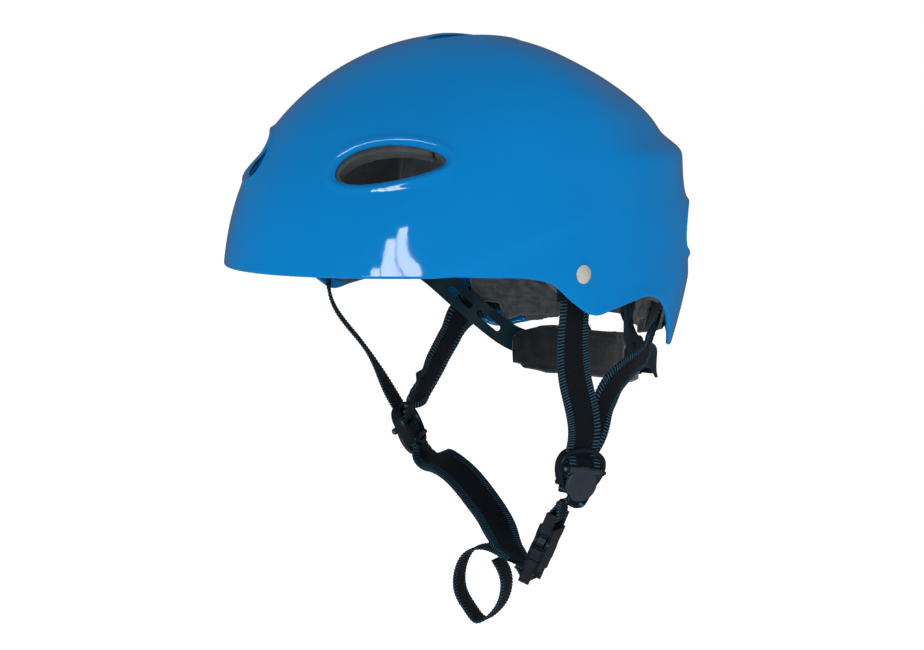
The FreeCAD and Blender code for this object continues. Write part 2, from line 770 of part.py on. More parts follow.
# ------------------------------------------------------------------ webbing
def wrap(height, tail):
    """Webbing wrapped round a bar, in the buckle's frame: a drop-shaped ring that closes into two layers above."""
    inner, outer = BAR_RADIUS + 0.25, BAR_RADIUS + 0.25 + size("web_thick")
    meet, end = height + 7.0, height + tail
    thick = size("web_thick") + 0.05

    def drop(radius, tip, spread):
        low = Part.Arc(Vector(0, height, -radius), Vector(0, height - radius, 0), Vector(0, height, radius))
        if spread == 0.0:
            sides = Part.makePolygon([Vector(0, height, radius), Vector(0, tip, 0), Vector(0, height, -radius)])
        else:
            sides = Part.makePolygon([Vector(0, height, radius), Vector(0, meet, spread), Vector(0, tip, spread),
                                      Vector(0, tip, -spread), Vector(0, meet, -spread),
                                      Vector(0, height, -radius)])  # fmt: skip
        face = Part.Face(Part.Wire([low.toShape(), *sides.Edges]))
        face.translate(Vector(-size("web_width") / 2, 0, 0))
        return face.extrude(Vector(size("web_width"), 0, 0))

    return drop(outer, end, thick).cut(drop(inner, height + 4.6, 0.0))


def run(label, route, thick=None, count=25, extra=()):
    """A run of webbing as one solid, fused with anything it wraps round."""
    shape = flat_strip(route, count, size("web_width"), thick or size("web_thick"))
    if extra:
        shape = shape.fuse(list(extra)).removeSplitter()
    return feature(label, shape)


def placed(shape, placement):
    """The shape moved to a placement."""
    moved = shape.copy()
    moved.Placement = placement.multiply(shape.Placement)
    return moved


def strap_start(point, away):
    """Where a strap leaves the inner face of its hanger, the direction it sets off in and its width direction."""
    out = wall_normal(point)
    away = (away - out * away.dot(out)).normalize()
    start = point - out * (WALL + size("hanger_gap") + size("hanger_thick") + 0.1 + size("web_thick") / 2)
    return start, away, out, away.cross(out)


def matched(wide, other):
    """The width direction turned to agree with another."""
    return wide * -1 if wide.dot(other) < 0 else wide


SLEEVE_IN = size("divider_height") / 2 - 1.5


def front_route(point, placement, twist):
    """Route from a side hanger down to the divider's sleeve."""
    start, away, out, level = strap_start(point, Vector(0, 0, -1))
    wide = across(placement)
    level = matched(level, wide)
    clear = start + away * 24 - out
    entry = at(placement, -0.6, 18.5, LAYER * 1.5)
    return [
        (start + away * 5.5, level),
        (start + away * 15, level),
        (clear, level * (0.75 - 0.4 * twist) + wide * (0.25 + 0.4 * twist)),
        (clear * 0.5 + entry * 0.5, level * (0.3 - 0.3 * twist) + wide * (0.7 + 0.3 * twist)),
        (entry, wide),
        (at(placement, 0, SLEEVE_IN, LAYER), wide),
        (at(placement, 0, 4.0, LAYER), wide),
    ]


def rear_route(point, placement, middle, entry):
    """Route from a rear hanger down the wall to its edge, then forward through the middle points to the sleeve."""
    start, away, out, level = strap_start(point, Vector(0, -0.35, -0.94))
    wide = across(placement)
    level = matched(level, wide)
    route = [(start + away * 5.5 - out * 0.5, level), (start + away * 16 - out * 2.0, level)]
    for share, spot in zip((0.15, 0.4, 0.6, 0.8), middle):
        route.append((Vector(spot), level * (1 - share) + wide * share))
    route += [(at(placement, *spot), wide) for spot in entry]
    return [*route, (at(placement, 0, SLEEVE_IN, -LAYER), wide), (at(placement, 0, 4.0, -LAYER), wide)]


LAYER = size("web_thick") / 2 + 0.22  # each run's offset from the middle of a divider's sleeve

REAR_MIDDLE_LEFT = [(77, 66, -152.5), (82, 46, -161), (85, 30, -173)]
REAR_MIDDLE_RIGHT = [(-76, 72, -153), (-78, 57, -166)]
run("front_strap_left", front_route(SIDE_RIVET, DIVIDER_LEFT, 0.0))
run("front_strap_right", front_route(other_side(SIDE_RIVET), DIVIDER_RIGHT, 0.8))
run("rear_strap_left", rear_route(REAR_RIVET, DIVIDER_LEFT, REAR_MIDDLE_LEFT, [(2.6, 19.5, -LAYER * 1.7)]))
run("rear_strap_right", rear_route(other_side(REAR_RIVET), DIVIDER_RIGHT, REAR_MIDDLE_RIGHT,
                                   [(-2.2, 22.5, -6.0), (-0.8, 16.5, -1.25)]))  # fmt: skip

DOUBLE = 2 * size("web_thick") + 0.1
SLEEVE_TOP = 1.2

socket_wrap = placed(wrap(SOCKET_BAR, 10.0), BUCKLE)
run(
    "lower_strap_left",
    [
        (at(DIVIDER_LEFT, 0, SLEEVE_TOP, 0), across(DIVIDER_LEFT)),
        (at(DIVIDER_LEFT, 0, -4, 0), across(DIVIDER_LEFT)),
        (at(DIVIDER_LEFT, 0, -9, 0), across(DIVIDER_LEFT)),
        (at(DIVIDER_LEFT, 0, -14, 0), across(DIVIDER_LEFT)),
        (at(BUCKLE, 0, SOCKET_BAR + 9.0, 0), across(BUCKLE)),
    ],
    DOUBLE,
    extra=[socket_wrap],
)

PLUG_TURN = Placement(Vector(0, PLUG_BAR, 0), Rotation(Vector(1, 0, 0), -72))  # the strap leaves the bar inward
PLUG_WRAP = BUCKLE.multiply(PLUG_TURN)
chin_route = [
    (at(DIVIDER_RIGHT, 0, SLEEVE_TOP, 0), across(DIVIDER_RIGHT)),
    (at(DIVIDER_RIGHT, 0, -4, 0), across(DIVIDER_RIGHT)),
    (at(DIVIDER_RIGHT, 0, -9, 0), across(DIVIDER_RIGHT)),
    (at(DIVIDER_RIGHT, 0, -14, 0), across(DIVIDER_RIGHT)),
    (Vector(-44, 25.0, -219), Vector(-0.42, -0.80, -0.43)),
    (Vector(-20, 19, -224), Vector(-0.36, -0.80, -0.48)),
    (Vector(4.4, 12.5, -235), Vector(-0.20, -0.84, -0.50)),
    (Vector(24.6, 6.0, -246), Vector(0.10, -0.88, -0.42)),
    (Vector(41, -1.5, -256), Vector(0.40, -0.86, -0.20)),
    (at(PLUG_WRAP, 0, 8.0, 0), across(BUCKLE) * -1),
]
run("chin_strap", chin_route, DOUBLE, 33, extra=[placed(wrap(0.0, 9.0), PLUG_WRAP)])


def build_tail():
    """Loose loop of webbing that hangs from the chin strap beside the buckle."""
    wide = Vector(-0.50, 0.866, 0.0)
    along_loop = Vector(0.866, 0.50, 0.0)
    points = [(25, -260.5), (17, -256.8), (7.5, -259), (2.6, -268), (2.2, -281), (8, -292.5), (12.6, -297.3),
              (17.5, -294.5), (24, -284), (24.5, -271), (20.5, -262.5)]  # fmt: skip
    curve = Part.BSplineCurve()
    curve.interpolate([along_loop * (x / 0.866) + Vector(0, 0, z) for x, z in points])
    half = size("web_thick") / 2
    outer, inner = [], []
    count = 48
    for i in range(count + 1):
        u = curve.FirstParameter + (curve.LastParameter - curve.FirstParameter) * i / count
        normal = curve.tangent(u)[0].cross(wide).normalize()
        outer.append(curve.value(u) + normal * half)
        inner.append(curve.value(u) - normal * half)
    outline = outer + inner[::-1]
    face = Part.Face(Part.makePolygon([*outline, outline[0]]))
    face.translate(Vector(13.5, -14.7, 0) - wide * size("web_width") / 2)
    return face.extrude(wide * size("web_width"))


feature("strap_tail", build_tail())


# ------------------------------------------------------------------ nape cradle and its dial
PITCH_RADIUS = size("gear_module") * size("gear_teeth") / 2
PRESSURE_ANGLE = math.radians(20.0)
BASE = size("gearbox_base")
RACK_FLOOR = BASE + 0.15
COVER_FLOOR = RACK_FLOOR + size("rack_thick") + 0.15
KNOB_FLOOR = COVER_FLOOR + size("gearbox_cover") + 0.3
HALF_LENGTH = size("gearbox_length") / 2
HALF_HEIGHT = size("gearbox_height") / 2
BAY = size("rack_back") + 0.15  # half height of the space the racks run in


def nape_box(x_low, x_high, y_low, y_high, z_low, z_high):
    """A box in the cradle's frame."""
    return Part.makeBox(x_high - x_low, y_high - y_low, z_high - z_low, Vector(x_low, y_low, z_low))


def build_gearbox():
    """Open tray with a slot at each end that a rack runs out of, and a bore for the dial's axle."""
    tray = softened(nape_box(-HALF_LENGTH, HALF_LENGTH, -HALF_HEIGHT, HALF_HEIGHT, 0, COVER_FLOOR), 3.0, along("Z"))
    bay = nape_box(-HALF_LENGTH + 2, HALF_LENGTH - 2, -BAY, BAY, BASE, 20)
    low = PITCH_RADIUS - 0.9
    outlets = [nape_box(0, 60, low, BAY, BASE, 20), nape_box(-60, 0, -BAY, -low, BASE, 20)]
    bore = Part.makeCylinder(1.6, 20, Vector(0, 0, -5))
    return tray.cut([bay, bore, *outlets])


def build_cover():
    """Lid of the gearbox with the opening the dial's axle turns in."""
    lid = nape_box(-HALF_LENGTH, HALF_LENGTH, -HALF_HEIGHT, HALF_HEIGHT, COVER_FLOOR,
                   COVER_FLOOR + size("gearbox_cover"))  # fmt: skip
    lid = softened(lid, 3.0, along("Z"))
    return lid.cut(Part.makeCylinder(size("axle_radius") + size("axle_gap"), 20))


def involute(radius_base, roll):
    """Point of the involute of a circle after a roll angle."""
    return Vector(radius_base * (math.cos(roll) + roll * math.sin(roll)),
                  radius_base * (math.sin(roll) - roll * math.cos(roll)), 0)  # fmt: skip


def spun(vector, angle):
    """A vector turned about Z."""
    c, s = math.cos(angle), math.sin(angle)
    return Vector(vector.x * c - vector.y * s, vector.x * s + vector.y * c, vector.z)


def build_pinion():
    """Involute pinion with the axle that carries the knob."""
    module, teeth = size("gear_module"), int(size("gear_teeth"))
    base_radius = PITCH_RADIUS * math.cos(PRESSURE_ANGLE)
    tip_radius = PITCH_RADIUS + 0.75 * module
    root_radius = PITCH_RADIUS - 1.05 * module
    pitch_roll = math.tan(PRESSURE_ANGLE)
    flank_angle = pitch_roll - PRESSURE_ANGLE
    half_tooth = math.pi / (2 * teeth) - size("tooth_slack") / (2 * PITCH_RADIUS)
    tip_roll = math.sqrt((tip_radius / base_radius) ** 2 - 1)
    outline = []
    for i in range(teeth):
        middle = 2 * math.pi * i / teeth
        rise = [involute(base_radius, tip_roll * k / 5) for k in range(6)]
        flank = [spun(p, -half_tooth - flank_angle) for p in rise]
        foot = Vector(root_radius * math.cos(-half_tooth - flank_angle),
                      root_radius * math.sin(-half_tooth - flank_angle), 0)  # fmt: skip
        half = [foot, *flank]
        whole = half + [Vector(p.x, -p.y, 0) for p in reversed(half)]
        outline += [spun(p, middle) for p in whole]
    gear = Part.Face(Part.makePolygon([*outline, outline[0]])).extrude(Vector(0, 0, size("rack_thick") - 0.1))
    gear.translate(Vector(0, 0, RACK_FLOOR + 0.05))
    axle = Part.makeCylinder(size("axle_radius"), KNOB_FLOOR + 3.0 - RACK_FLOOR - 1, Vector(0, 0, RACK_FLOOR + 1))
    pilot = Part.makeCylinder(1.1, 12, Vector(0, 0, KNOB_FLOOR - 3))
    return gear.fuse(axle).cut(pilot)


def build_rack(side):
    """Rack: the one for the left runs above the pinion, the one for the right below it."""
    module = size("gear_module")
    pitch = math.pi * module
    tip = PITCH_RADIUS - 0.7 * module
    root = PITCH_RADIUS + 0.95 * module
    lean = math.tan(PRESSURE_ANGLE)
    half = pitch / 4 - size("tooth_slack") / 4
    inner, outer = -size("rack_inner_end"), size("rack_outer_end")
    outline = [Vector(outer, size("rack_back"), 0), Vector(inner, size("rack_back"), 0), Vector(inner, root, 0)]
    count = int((size("rack_inner_end") - 2) / pitch)
    for i in range(-count, count + 1):
        middle = (i + 0.5) * pitch
        at_root, at_tip = half + lean * (root - PITCH_RADIUS), half - lean * (PITCH_RADIUS - tip)
        outline += [Vector(middle - at_root, root, 0), Vector(middle - at_tip, tip, 0),
                    Vector(middle + at_tip, tip, 0), Vector(middle + at_root, root, 0)]  # fmt: skip
    outline.append(Vector(outer, root, 0))
    rack = Part.Face(Part.makePolygon([*outline, outline[0]])).extrude(Vector(0, 0, size("rack_thick")))
    rack.Placement = Placement(Vector(0, 0, RACK_FLOOR), Rotation(Vector(0, 0, 1), 0 if side < 0 else 180))
    return rack


def make_knob():
    """Dial with finger flutes round its edge and a bore for the axle."""
    owner = body("dial_knob")
    face = sketch_on(owner, "knob_face", "XY_Plane", KNOB_FLOOR)
    draw_circle(face, "sizes.knob_radius")
    pad(owner, face, "sizes.knob_height")
    flute = sketch_on(owner, "knob_flute", "XY_Plane", KNOB_FLOOR)
    draw_circle(flute, "1.4", (size("knob_radius") + 0.6, 0.0))
    first = pocket(owner, flute, "40")
    polar(owner, [first], flute, 18)
    bore = sketch_on(owner, "knob_bore", "XY_Plane", KNOB_FLOOR - 1)
    draw_circle(bore, "sizes.axle_radius + 0.03")
    pocket(owner, bore, "1 + 3.2", middle=False, back=True)
    through = sketch_on(owner, "knob_screw_way", "XY_Plane", KNOB_FLOOR)
    draw_circle(through, "1.3")
    pocket(owner, through, "60")
    owner.Placement = NAPE
    return keep(owner, "dial_knob")


def make_dial_screw():
    """Screw that holds the dial on its axle, with a slot in its head."""
    owner = body("dial_screw")
    shank = sketch_on(owner, "dial_screw_shank", "XY_Plane", KNOB_FLOOR - 2)
    draw_circle(shank, "1.05")
    pad(owner, shank, "sizes.knob_height + 2.05")
    head = sketch_on(owner, "dial_screw_head", "XY_Plane", KNOB_FLOOR + size("knob_height") + 0.05)
    draw_circle(head, "2.4")
    pad(owner, head, "1.3")
    drive = sketch_on(owner, "dial_screw_drive", "XY_Plane", KNOB_FLOOR + size("knob_height") + 1.35)
    draw_rectangle(drive, "3.2", "0.7")
    pocket(owner, drive, "1.4")
    owner.Placement = NAPE
    return keep(owner, "dial_screw")


def build_nape_pad():
    """Padded band against the nape, curved round it, its back flat where the gearbox sits."""
    half = size("nape_pad_height") / 2
    back = [(-50, -22), (-43, -10.5), (-32, -3.0), (0, -1.9), (32, -3.0), (43, -10.5), (50, -22)]
    front = [(44.5, -26), (36, -16), (24, -10.5), (0, -8.8), (-24, -10.5), (-36, -16), (-44.5, -26)]
    back_curve, front_curve = Part.BSplineCurve(), Part.BSplineCurve()
    back_curve.interpolate([Vector(x, -half, z) for x, z in back])
    front_curve.interpolate([Vector(x, -half, z) for x, z in front])
    ends = [Part.makeLine(Vector(50, -half, -22), Vector(44.5, -half, -26)),
            Part.makeLine(Vector(-44.5, -half, -26), Vector(-50, -half, -22))]  # fmt: skip
    wire = Part.Wire(Part.sortEdges([back_curve.toShape(), ends[0], front_curve.toShape(), ends[1]])[0])
    return Part.Face(wire).extrude(Vector(0, 2 * half, 0))


def build_strand(side):
    """One strand of the wishbone that carries the cradle: an eyelet on the rear pad, then a thin rod that bows round
    the dial to the gearbox's lower edge."""
    eyelet = Part.makeCylinder(3.4, 1.6, Vector(side * 20, 31, -1.6)).cut(
        Part.makeCylinder(1.7, 6, Vector(side * 20, 31, -4)))  # fmt: skip
    route = [(20, 28.4, -0.4), (19.8, 23.5, -1.3), (19.4, 18.6, 1.6), (18.4, 14.0, 6.9), (15.8, 6.5, 8.9),
             (14.0, -2, 8.7), (12.0, -8, 8.6), (9.0, -10.4, 8.6)]  # fmt: skip
    path = Part.BSplineCurve()
    path.interpolate([Vector(side * x, y, z) for x, y, z in route])
    start = path.value(path.FirstParameter)
    section = Part.Wire(Part.Circle(start, path.tangent(path.FirstParameter)[0], 1.1).toShape())
    rod = Part.Wire(path.toShape()).makePipeShell([section], True, True)
    tip = Part.makeSphere(1.3, path.value(path.LastParameter))
    return rod.fuse([eyelet, tip]).removeSplitter()


def make_hanger_stud(label, side):
    """Snap stud that fastens one leg of the cradle's hanger to the rear pad."""
    owner = body(label)
    head = sketch_on(owner, label + "_head", "XY_Plane", -2.9)
    draw_circle(head, "2.6", (side * 20.0, 31.0))
    pad(owner, head, "1.25")
    shank = sketch_on(owner, label + "_shank", "XY_Plane", -2.0)
    draw_circle(shank, "1.6", (side * 20.0, 31.0))
    pad(owner, shank, "4.3")
    owner.Placement = NAPE
    return keep(owner, label)


def arm_route(side):
    """Route of a headband arm from the liner, round the head, to the end of its rack."""
    end = NAPE.multVec(Vector(-side * (size("rack_outer_end") + 1.7), -side * (PITCH_RADIUS + size("rack_back")) / 2,
                              RACK_FLOOR + size("rack_thick") / 2))  # fmt: skip
    up = Vector(0, 0, 1)
    return [
        (Vector(side * 82.0, 46, -113), up),
        (Vector(side * 79.0, 52, -118), Vector(0, 0.22, 1)),
        (Vector(side * 70.0, 62, -130), Vector(0, 0.5, 1)),
        (Vector(side * 58.0, 74, -144), Vector(-side * 0.3, 0.6, 1)),
        (Vector(side * 52.0, 89, -155), Vector(-side * 0.3, 0.4, 1)),
        (Vector(side * 47.0, 101.5, -158), Vector(-side * 0.1, 0.1, 1)),
        (end, up),
    ]


def build_arm(side):
    """Thin slotted plastic arm."""
    shape = flat_strip(arm_route(side), 33, size("arm_width"), size("arm_thick"))
    for share in (0.30, 0.52):
        middle, tangent, wide = strip_frame(arm_route(side), share)
        normal = tangent.cross(wide)
        turn = Matrix(tangent.x, wide.x, normal.x, 0, tangent.y, wide.y, normal.y, 0, tangent.z, wide.z, normal.z, 0,
                      0, 0, 0, 1)  # fmt: skip
        set_at = Placement(turn)
        set_at.Base = middle
        slot = softened(Part.makeBox(17, 3.6, 12, Vector(-8.5, -1.8, -6)), 1.7, along("Z"))
        slot.Placement = set_at
        shape = shape.cut(slot)
    return shape


feature("nape_gearbox", build_gearbox(), NAPE)
feature("nape_gearbox_cover", build_cover(), NAPE)
feature("dial_pinion", build_pinion(), NAPE)
feature("fit_rack_left", placed(build_rack(1), NAPE))
feature("fit_rack_right", placed(build_rack(-1), NAPE))
make_knob()
make_dial_screw()
make_hanger_stud("hanger_stud_left", -1)
make_hanger_stud("hanger_stud_right", 1)
feature("nape_pad", build_nape_pad(), NAPE)
feature("cradle_strand_left", build_strand(-1), NAPE)
feature("cradle_strand_right", build_strand(1), NAPE)
feature("fit_arm_left", build_arm(1))
feature("fit_arm_right", build_arm(-1))


# ------------------------------------------------------------------ check and write every sub-part
doc.recompute()
for obj in doc.Objects:
    if any(state in ("Invalid", "Error") for state in obj.State):
        raise RuntimeError(f"{obj.Label} did not compute")
os.makedirs("parts", exist_ok=True)
for obj in parts:
    if obj.Shape.isNull() or not obj.Shape.isValid() or obj.Shape.Volume <= 0:
        raise RuntimeError(f"{obj.Label} has no sound solid")
    obj.Shape.exportStep(f"parts/{obj.Label}.step")
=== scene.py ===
import json
import math

import bpy
import numpy as np
from mathutils import Matrix, Vector, geometry


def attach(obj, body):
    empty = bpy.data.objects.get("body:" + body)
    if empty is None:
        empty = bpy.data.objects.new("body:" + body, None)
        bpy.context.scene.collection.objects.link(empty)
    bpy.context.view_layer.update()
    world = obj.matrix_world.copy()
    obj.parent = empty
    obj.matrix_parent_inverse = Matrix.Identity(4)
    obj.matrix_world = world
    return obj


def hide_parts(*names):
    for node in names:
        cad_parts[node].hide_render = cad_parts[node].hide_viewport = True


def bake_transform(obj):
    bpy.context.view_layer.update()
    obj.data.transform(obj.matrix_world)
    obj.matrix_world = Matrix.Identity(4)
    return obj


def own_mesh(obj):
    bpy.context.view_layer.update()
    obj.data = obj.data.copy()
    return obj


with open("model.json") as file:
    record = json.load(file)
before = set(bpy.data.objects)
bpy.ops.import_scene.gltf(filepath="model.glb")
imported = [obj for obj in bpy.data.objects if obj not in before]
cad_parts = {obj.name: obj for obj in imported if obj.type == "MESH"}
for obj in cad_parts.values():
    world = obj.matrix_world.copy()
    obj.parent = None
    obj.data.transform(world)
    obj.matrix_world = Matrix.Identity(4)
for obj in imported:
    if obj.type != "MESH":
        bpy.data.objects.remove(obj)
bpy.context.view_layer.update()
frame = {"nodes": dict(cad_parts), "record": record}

# Water sports helmet. Lengths are worked out in millimetres and turned to metres when a mesh is made.
MM = 0.001


# ------------------------------------------------------------------ camera, light and backdrop
def place_camera():
    """Long lens at the photograph's angle, aimed a little below the shell."""
    camera = bpy.data.objects.new("camera", bpy.data.cameras.new("camera"))
    bpy.context.scene.collection.objects.link(camera)
    azimuth, elevation, distance = math.radians(48.0), math.radians(5.7), 2.6
    back = Vector((math.sin(azimuth) * math.cos(elevation), -math.cos(azimuth) * math.cos(elevation),
                   math.sin(elevation)))  # fmt: skip
    target = Vector((0.001, 0.001, -0.1375))
    camera.location = target + back * distance
    camera.rotation_euler = back.to_track_quat("Z", "Y").to_euler()
    camera.data.sensor_width = 36.0
    camera.data.lens = 36.0 * distance / 0.5077
    camera.data.clip_end = 20.0
    bpy.context.scene.camera = camera


def area_light(name, location, aim, size, power, color=(1, 1, 1), size_y=None):
    """Soft rectangular light."""
    data = bpy.data.lights.new(name, "AREA")
    data.shape = "RECTANGLE"
    data.size, data.size_y = size, size_y or size
    data.energy = power
    data.color = color
    lamp = bpy.data.objects.new(name, data)
    lamp.location = Vector(location)
    lamp.rotation_euler = (Vector(location) - Vector(aim)).to_track_quat("Z", "Y").to_euler()
    bpy.context.scene.collection.objects.link(lamp)
    return lamp


def light_studio():
    """White room seen by the camera, even light on the object and a dim room in its reflections."""
    world = bpy.data.worlds.new("studio")
    world.use_nodes = True
    nodes, links = world.node_tree.nodes, world.node_tree.links
    nodes.clear()
    out = nodes.new("ShaderNodeOutputWorld")
    path = nodes.new("ShaderNodeLightPath")
    room = nodes.new("ShaderNodeBackground")
    room.inputs["Strength"].default_value = 0.70
    for ray, strength in (("Is Glossy Ray", 0.09), ("Is Camera Ray", 1.0)):
        seen = nodes.new("ShaderNodeBackground")
        seen.inputs["Color"].default_value = (1.0, 1.0, 1.0, 1.0)
        seen.inputs["Strength"].default_value = strength
        mix = nodes.new("ShaderNodeMixShader")
        links.new(path.outputs[ray], mix.inputs[0])
        links.new(room.outputs[0], mix.inputs[1])
        links.new(seen.outputs[0], mix.inputs[2])
        room = mix
    links.new(room.outputs[0], out.inputs["Surface"])
    bpy.context.scene.world = world
    scene = bpy.context.scene
    scene.view_settings.view_transform = "Standard"
    scene.view_settings.look = "None"
    for name, azimuth, width, height, power in (
        ("window_a", 31.0, 0.11, 0.20, 1.0),
        ("window_b", 36.2, 0.13, 0.36, 2.1),
        ("window_c", 41.8, 0.13, 0.60, 3.2),
        ("window_d", 47.0, 0.12, 0.72, 3.4),
    ):
        a = math.radians(azimuth)
        spot = (0.06 + 1.5 * math.sin(a), -0.10 - 1.5 * math.cos(a), -0.24 + height / 2)
        area_light(name, spot, (0.06, -0.10, -0.08), width, power, size_y=height)
    for name, spot, size, power in (
        ("key_light", (0.9, -0.9, 1.7), 1.2, 10),
        ("left_light", (-1.5, -0.6, 0.4), 1.0, 8),
        ("back_light", (1.3, 1.2, 0.5), 0.9, 8),
    ):
        area_light(name, spot, (0, 0, -0.06), size, power).visible_glossy = False


def floor():
    """Pale floor well below the hanging straps."""
    half, z = 6.0, -0.55
    mesh = bpy.data.meshes.new("floor")
    corners = [(-half, -half, z), (half, -half, z), (half, half, z), (-half, half, z)]
    mesh.from_pydata(corners, [], [(0, 1, 2, 3)])
    plane = bpy.data.objects.new("floor", mesh)
    bpy.context.scene.collection.objects.link(plane)
    surface = bpy.data.materials.new("floor_paint")
    surface.use_nodes = True
    shader = surface.node_tree.nodes["Principled BSDF"]
    shader.inputs["Base Color"].default_value = (0.93, 0.93, 0.93, 1)
    shader.inputs["Roughness"].default_value = 1.0
    shader.inputs["Specular IOR Level"].default_value = 0.0
    shader.inputs["Emission Color"].default_value = (1, 1, 1, 1)
    shader.inputs["Emission Strength"].default_value = 0.55
    mesh.materials.append(surface)
    plane.visible_glossy = False


# ------------------------------------------------------------------ materials
class Paint:
    """Builds one node material step by step."""

    def __init__(self, name, roughness=0.5, **sockets):
        self.material = bpy.data.materials.new(name)
        self.material.use_nodes = True
        self.nodes, self.links = self.material.node_tree.nodes, self.material.node_tree.links
        self.shader = self.nodes["Principled BSDF"]
        self.shader.inputs["Roughness"].default_value = roughness
        for socket, value in sockets.items():
            self.shader.inputs[socket.replace("_", " ")].default_value = value
        self.height = None
        coordinates = self.nodes.new("ShaderNodeTexCoord")
        self.object, self.uv = coordinates.outputs["Object"], coordinates.outputs["UV"]

    def noise(self, scale, detail=3.0, stretch=(1, 1, 1), uv=False):
        """Noise in object space, or in UV space, with the axes stretched."""
        mapping = self.nodes.new("ShaderNodeMapping")
        mapping.inputs["Scale"].default_value = stretch
        self.links.new(self.uv if uv else self.object, mapping.inputs["Vector"])
        made = self.nodes.new("ShaderNodeTexNoise")
        made.inputs["Scale"].default_value = scale
        made.inputs["Detail"].default_value = detail
        self.links.new(mapping.outputs[0], made.inputs["Vector"])
        return made.outputs["Fac"]

    def wave(self, scale, axis="X", uv=True, distortion=0.0, stretch=(1, 1, 1)):
        """Sine bands along one axis."""
        mapping = self.nodes.new("ShaderNodeMapping")
        mapping.inputs["Scale"].default_value = stretch
        self.links.new(self.uv if uv else self.object, mapping.inputs["Vector"])
        made = self.nodes.new("ShaderNodeTexWave")
        made.wave_profile = "SIN"
        made.bands_direction = axis
        made.inputs["Scale"].default_value = scale
        made.inputs["Distortion"].default_value = distortion
        self.links.new(mapping.outputs[0], made.inputs["Vector"])
        return made.outputs["Fac"]

    def voronoi(self, scale, feature="F1"):
        """Cell pattern in object space."""
        made = self.nodes.new("ShaderNodeTexVoronoi")
        made.feature = feature
        made.inputs["Scale"].default_value = scale
        self.links.new(self.object, made.inputs["Vector"])
        return made.outputs["Distance"]

    def math(self, operation, a, b=0.0, c=0.0):
        """One math node."""
        made = self.nodes.new("ShaderNodeMath")
        made.operation = operation
        for i, value in enumerate((a, b, c)):
            if isinstance(value, (int, float)):
                made.inputs[i].default_value = value
            else:
                self.links.new(value, made.inputs[i])
        return made.outputs[0]

    def colours(self, factor, *stops):
        """Colour ramp of (position, colour) into the base colour."""
        ramp = self.nodes.new("ShaderNodeValToRGB")
        elements = ramp.color_ramp.elements
        while len(elements) < len(stops):
            elements.new(0.5)
        for element, (position, color) in zip(elements, stops):
            element.position = position
            element.color = (*color, 1)
        self.links.new(factor, ramp.inputs[0])
        self.links.new(ramp.outputs[0], self.shader.inputs["Base Color"])
        return self

    def rough(self, factor, low, high):
        """Roughness that varies with a factor."""
        spread = self.nodes.new("ShaderNodeMapRange")
        spread.inputs["To Min"].default_value = low
        spread.inputs["To Max"].default_value = high
        self.links.new(factor, spread.inputs["Value"])
        self.links.new(spread.outputs[0], self.shader.inputs["Roughness"])
        return self

    def bump(self, factor, distance, strength=1.0):
        """Bump on top of any earlier one. Distance is in millimetres."""
        made = self.nodes.new("ShaderNodeBump")
        made.inputs["Distance"].default_value = distance * MM
        made.inputs["Strength"].default_value = strength
        self.links.new(factor, made.inputs["Height"])
        if self.height is not None:
            self.links.new(self.height, made.inputs["Normal"])
        self.height = made.outputs["Normal"]
        self.links.new(self.height, self.shader.inputs["Normal"])
        return self


def shade(low, high, centre=0.5, spread=0.2):
    """Two colour stops for Paint.colours."""
    return (centre - spread, low), (centre + spread, high)


def shell_paint():
    """Glossy blue plastic: even colour, a trace of moulding unevenness and fine wear."""
    paint = Paint("shell_blue", 0.1, Specular_IOR_Level=0.5)
    paint.colours(paint.noise(14, 4), *shade((0.0, 0.142, 0.395), (0.0, 0.154, 0.42)))
    paint.rough(paint.noise(90, 5), 0.03, 0.08)
    return paint.bump(paint.noise(420, 2), 0.010).bump(paint.noise(16, 2), 0.20).material


def foam_paint():
    """Grey closed-cell foam with fine pores."""
    paint = Paint("eva_foam", 0.85, Specular_IOR_Level=0.3)
    paint.colours(paint.noise(60, 5), *shade((0.030, 0.037, 0.042), (0.070, 0.078, 0.084)))
    return paint.bump(paint.voronoi(1400), 0.12).bump(paint.noise(260, 4), 0.18).material


def knit_paint(name, dark, light, stretch=(1, 1, 1)):
    """Brushed knitted fabric over foam."""
    paint = Paint(name, 0.92, Specular_IOR_Level=0.2, Sheen_Weight=0.25, Sheen_Roughness=0.5)
    paint.colours(paint.noise(220, 6, stretch), *shade(dark, light))
    grid = paint.math("MULTIPLY", paint.wave(260, "X", uv=False), paint.wave(260, "Z", uv=False))
    return paint.bump(grid, 0.10).bump(paint.noise(500, 5, stretch), 0.16).material


def webbing_paint():
    """Woven webbing: near black, with a cross-ribbed band along each edge and a fine twill between. The rib
    crests carry a painted highlight in light teal.
    """
    paint = Paint("webbing", 0.55, Specular_IOR_Level=0.15, Sheen_Weight=0.02, Sheen_Roughness=0.4)
    parts = paint.nodes.new("ShaderNodeSeparateXYZ")
    paint.links.new(paint.uv, parts.inputs[0])
    band = paint.math("GREATER_THAN", paint.math("ABSOLUTE", parts.outputs["Y"]), 5.9)
    turn = paint.math("COSINE", paint.math("MULTIPLY", parts.outputs["X"], 2 * math.pi / 1.75))
    # Rib mask: it drives the ribs' bump and also their painted highlight colour.
    rib_relief_and_highlight = paint.math("MULTIPLY", band, paint.math("POWER", paint.math("MULTIPLY_ADD", turn, 0.5, 0.5), 2.5))
    thread = paint.noise(0.6, 6, (1, 3, 1), uv=True)
    factor = paint.math("MULTIPLY_ADD", rib_relief_and_highlight, 0.55, paint.math("MULTIPLY", thread, 0.45))
    # The third colour is a painted highlight: the crests of the edge ribs are coloured light teal as if they
    # caught the light.
    dark, middle, rib = (0.0015, 0.0030, 0.0055), (0.0035, 0.0075, 0.0125), (0.018, 0.085, 0.135)
    paint.colours(factor, (0.1, dark), (0.42, middle), (0.8, rib))
    twill = paint.math("MULTIPLY", paint.wave(0.38, "Y"), paint.wave(0.42, "X"))
    return paint.bump(twill, 0.10).bump(rib_relief_and_highlight, 0.12).bump(paint.noise(2.2, 4, uv=True), 0.06).material


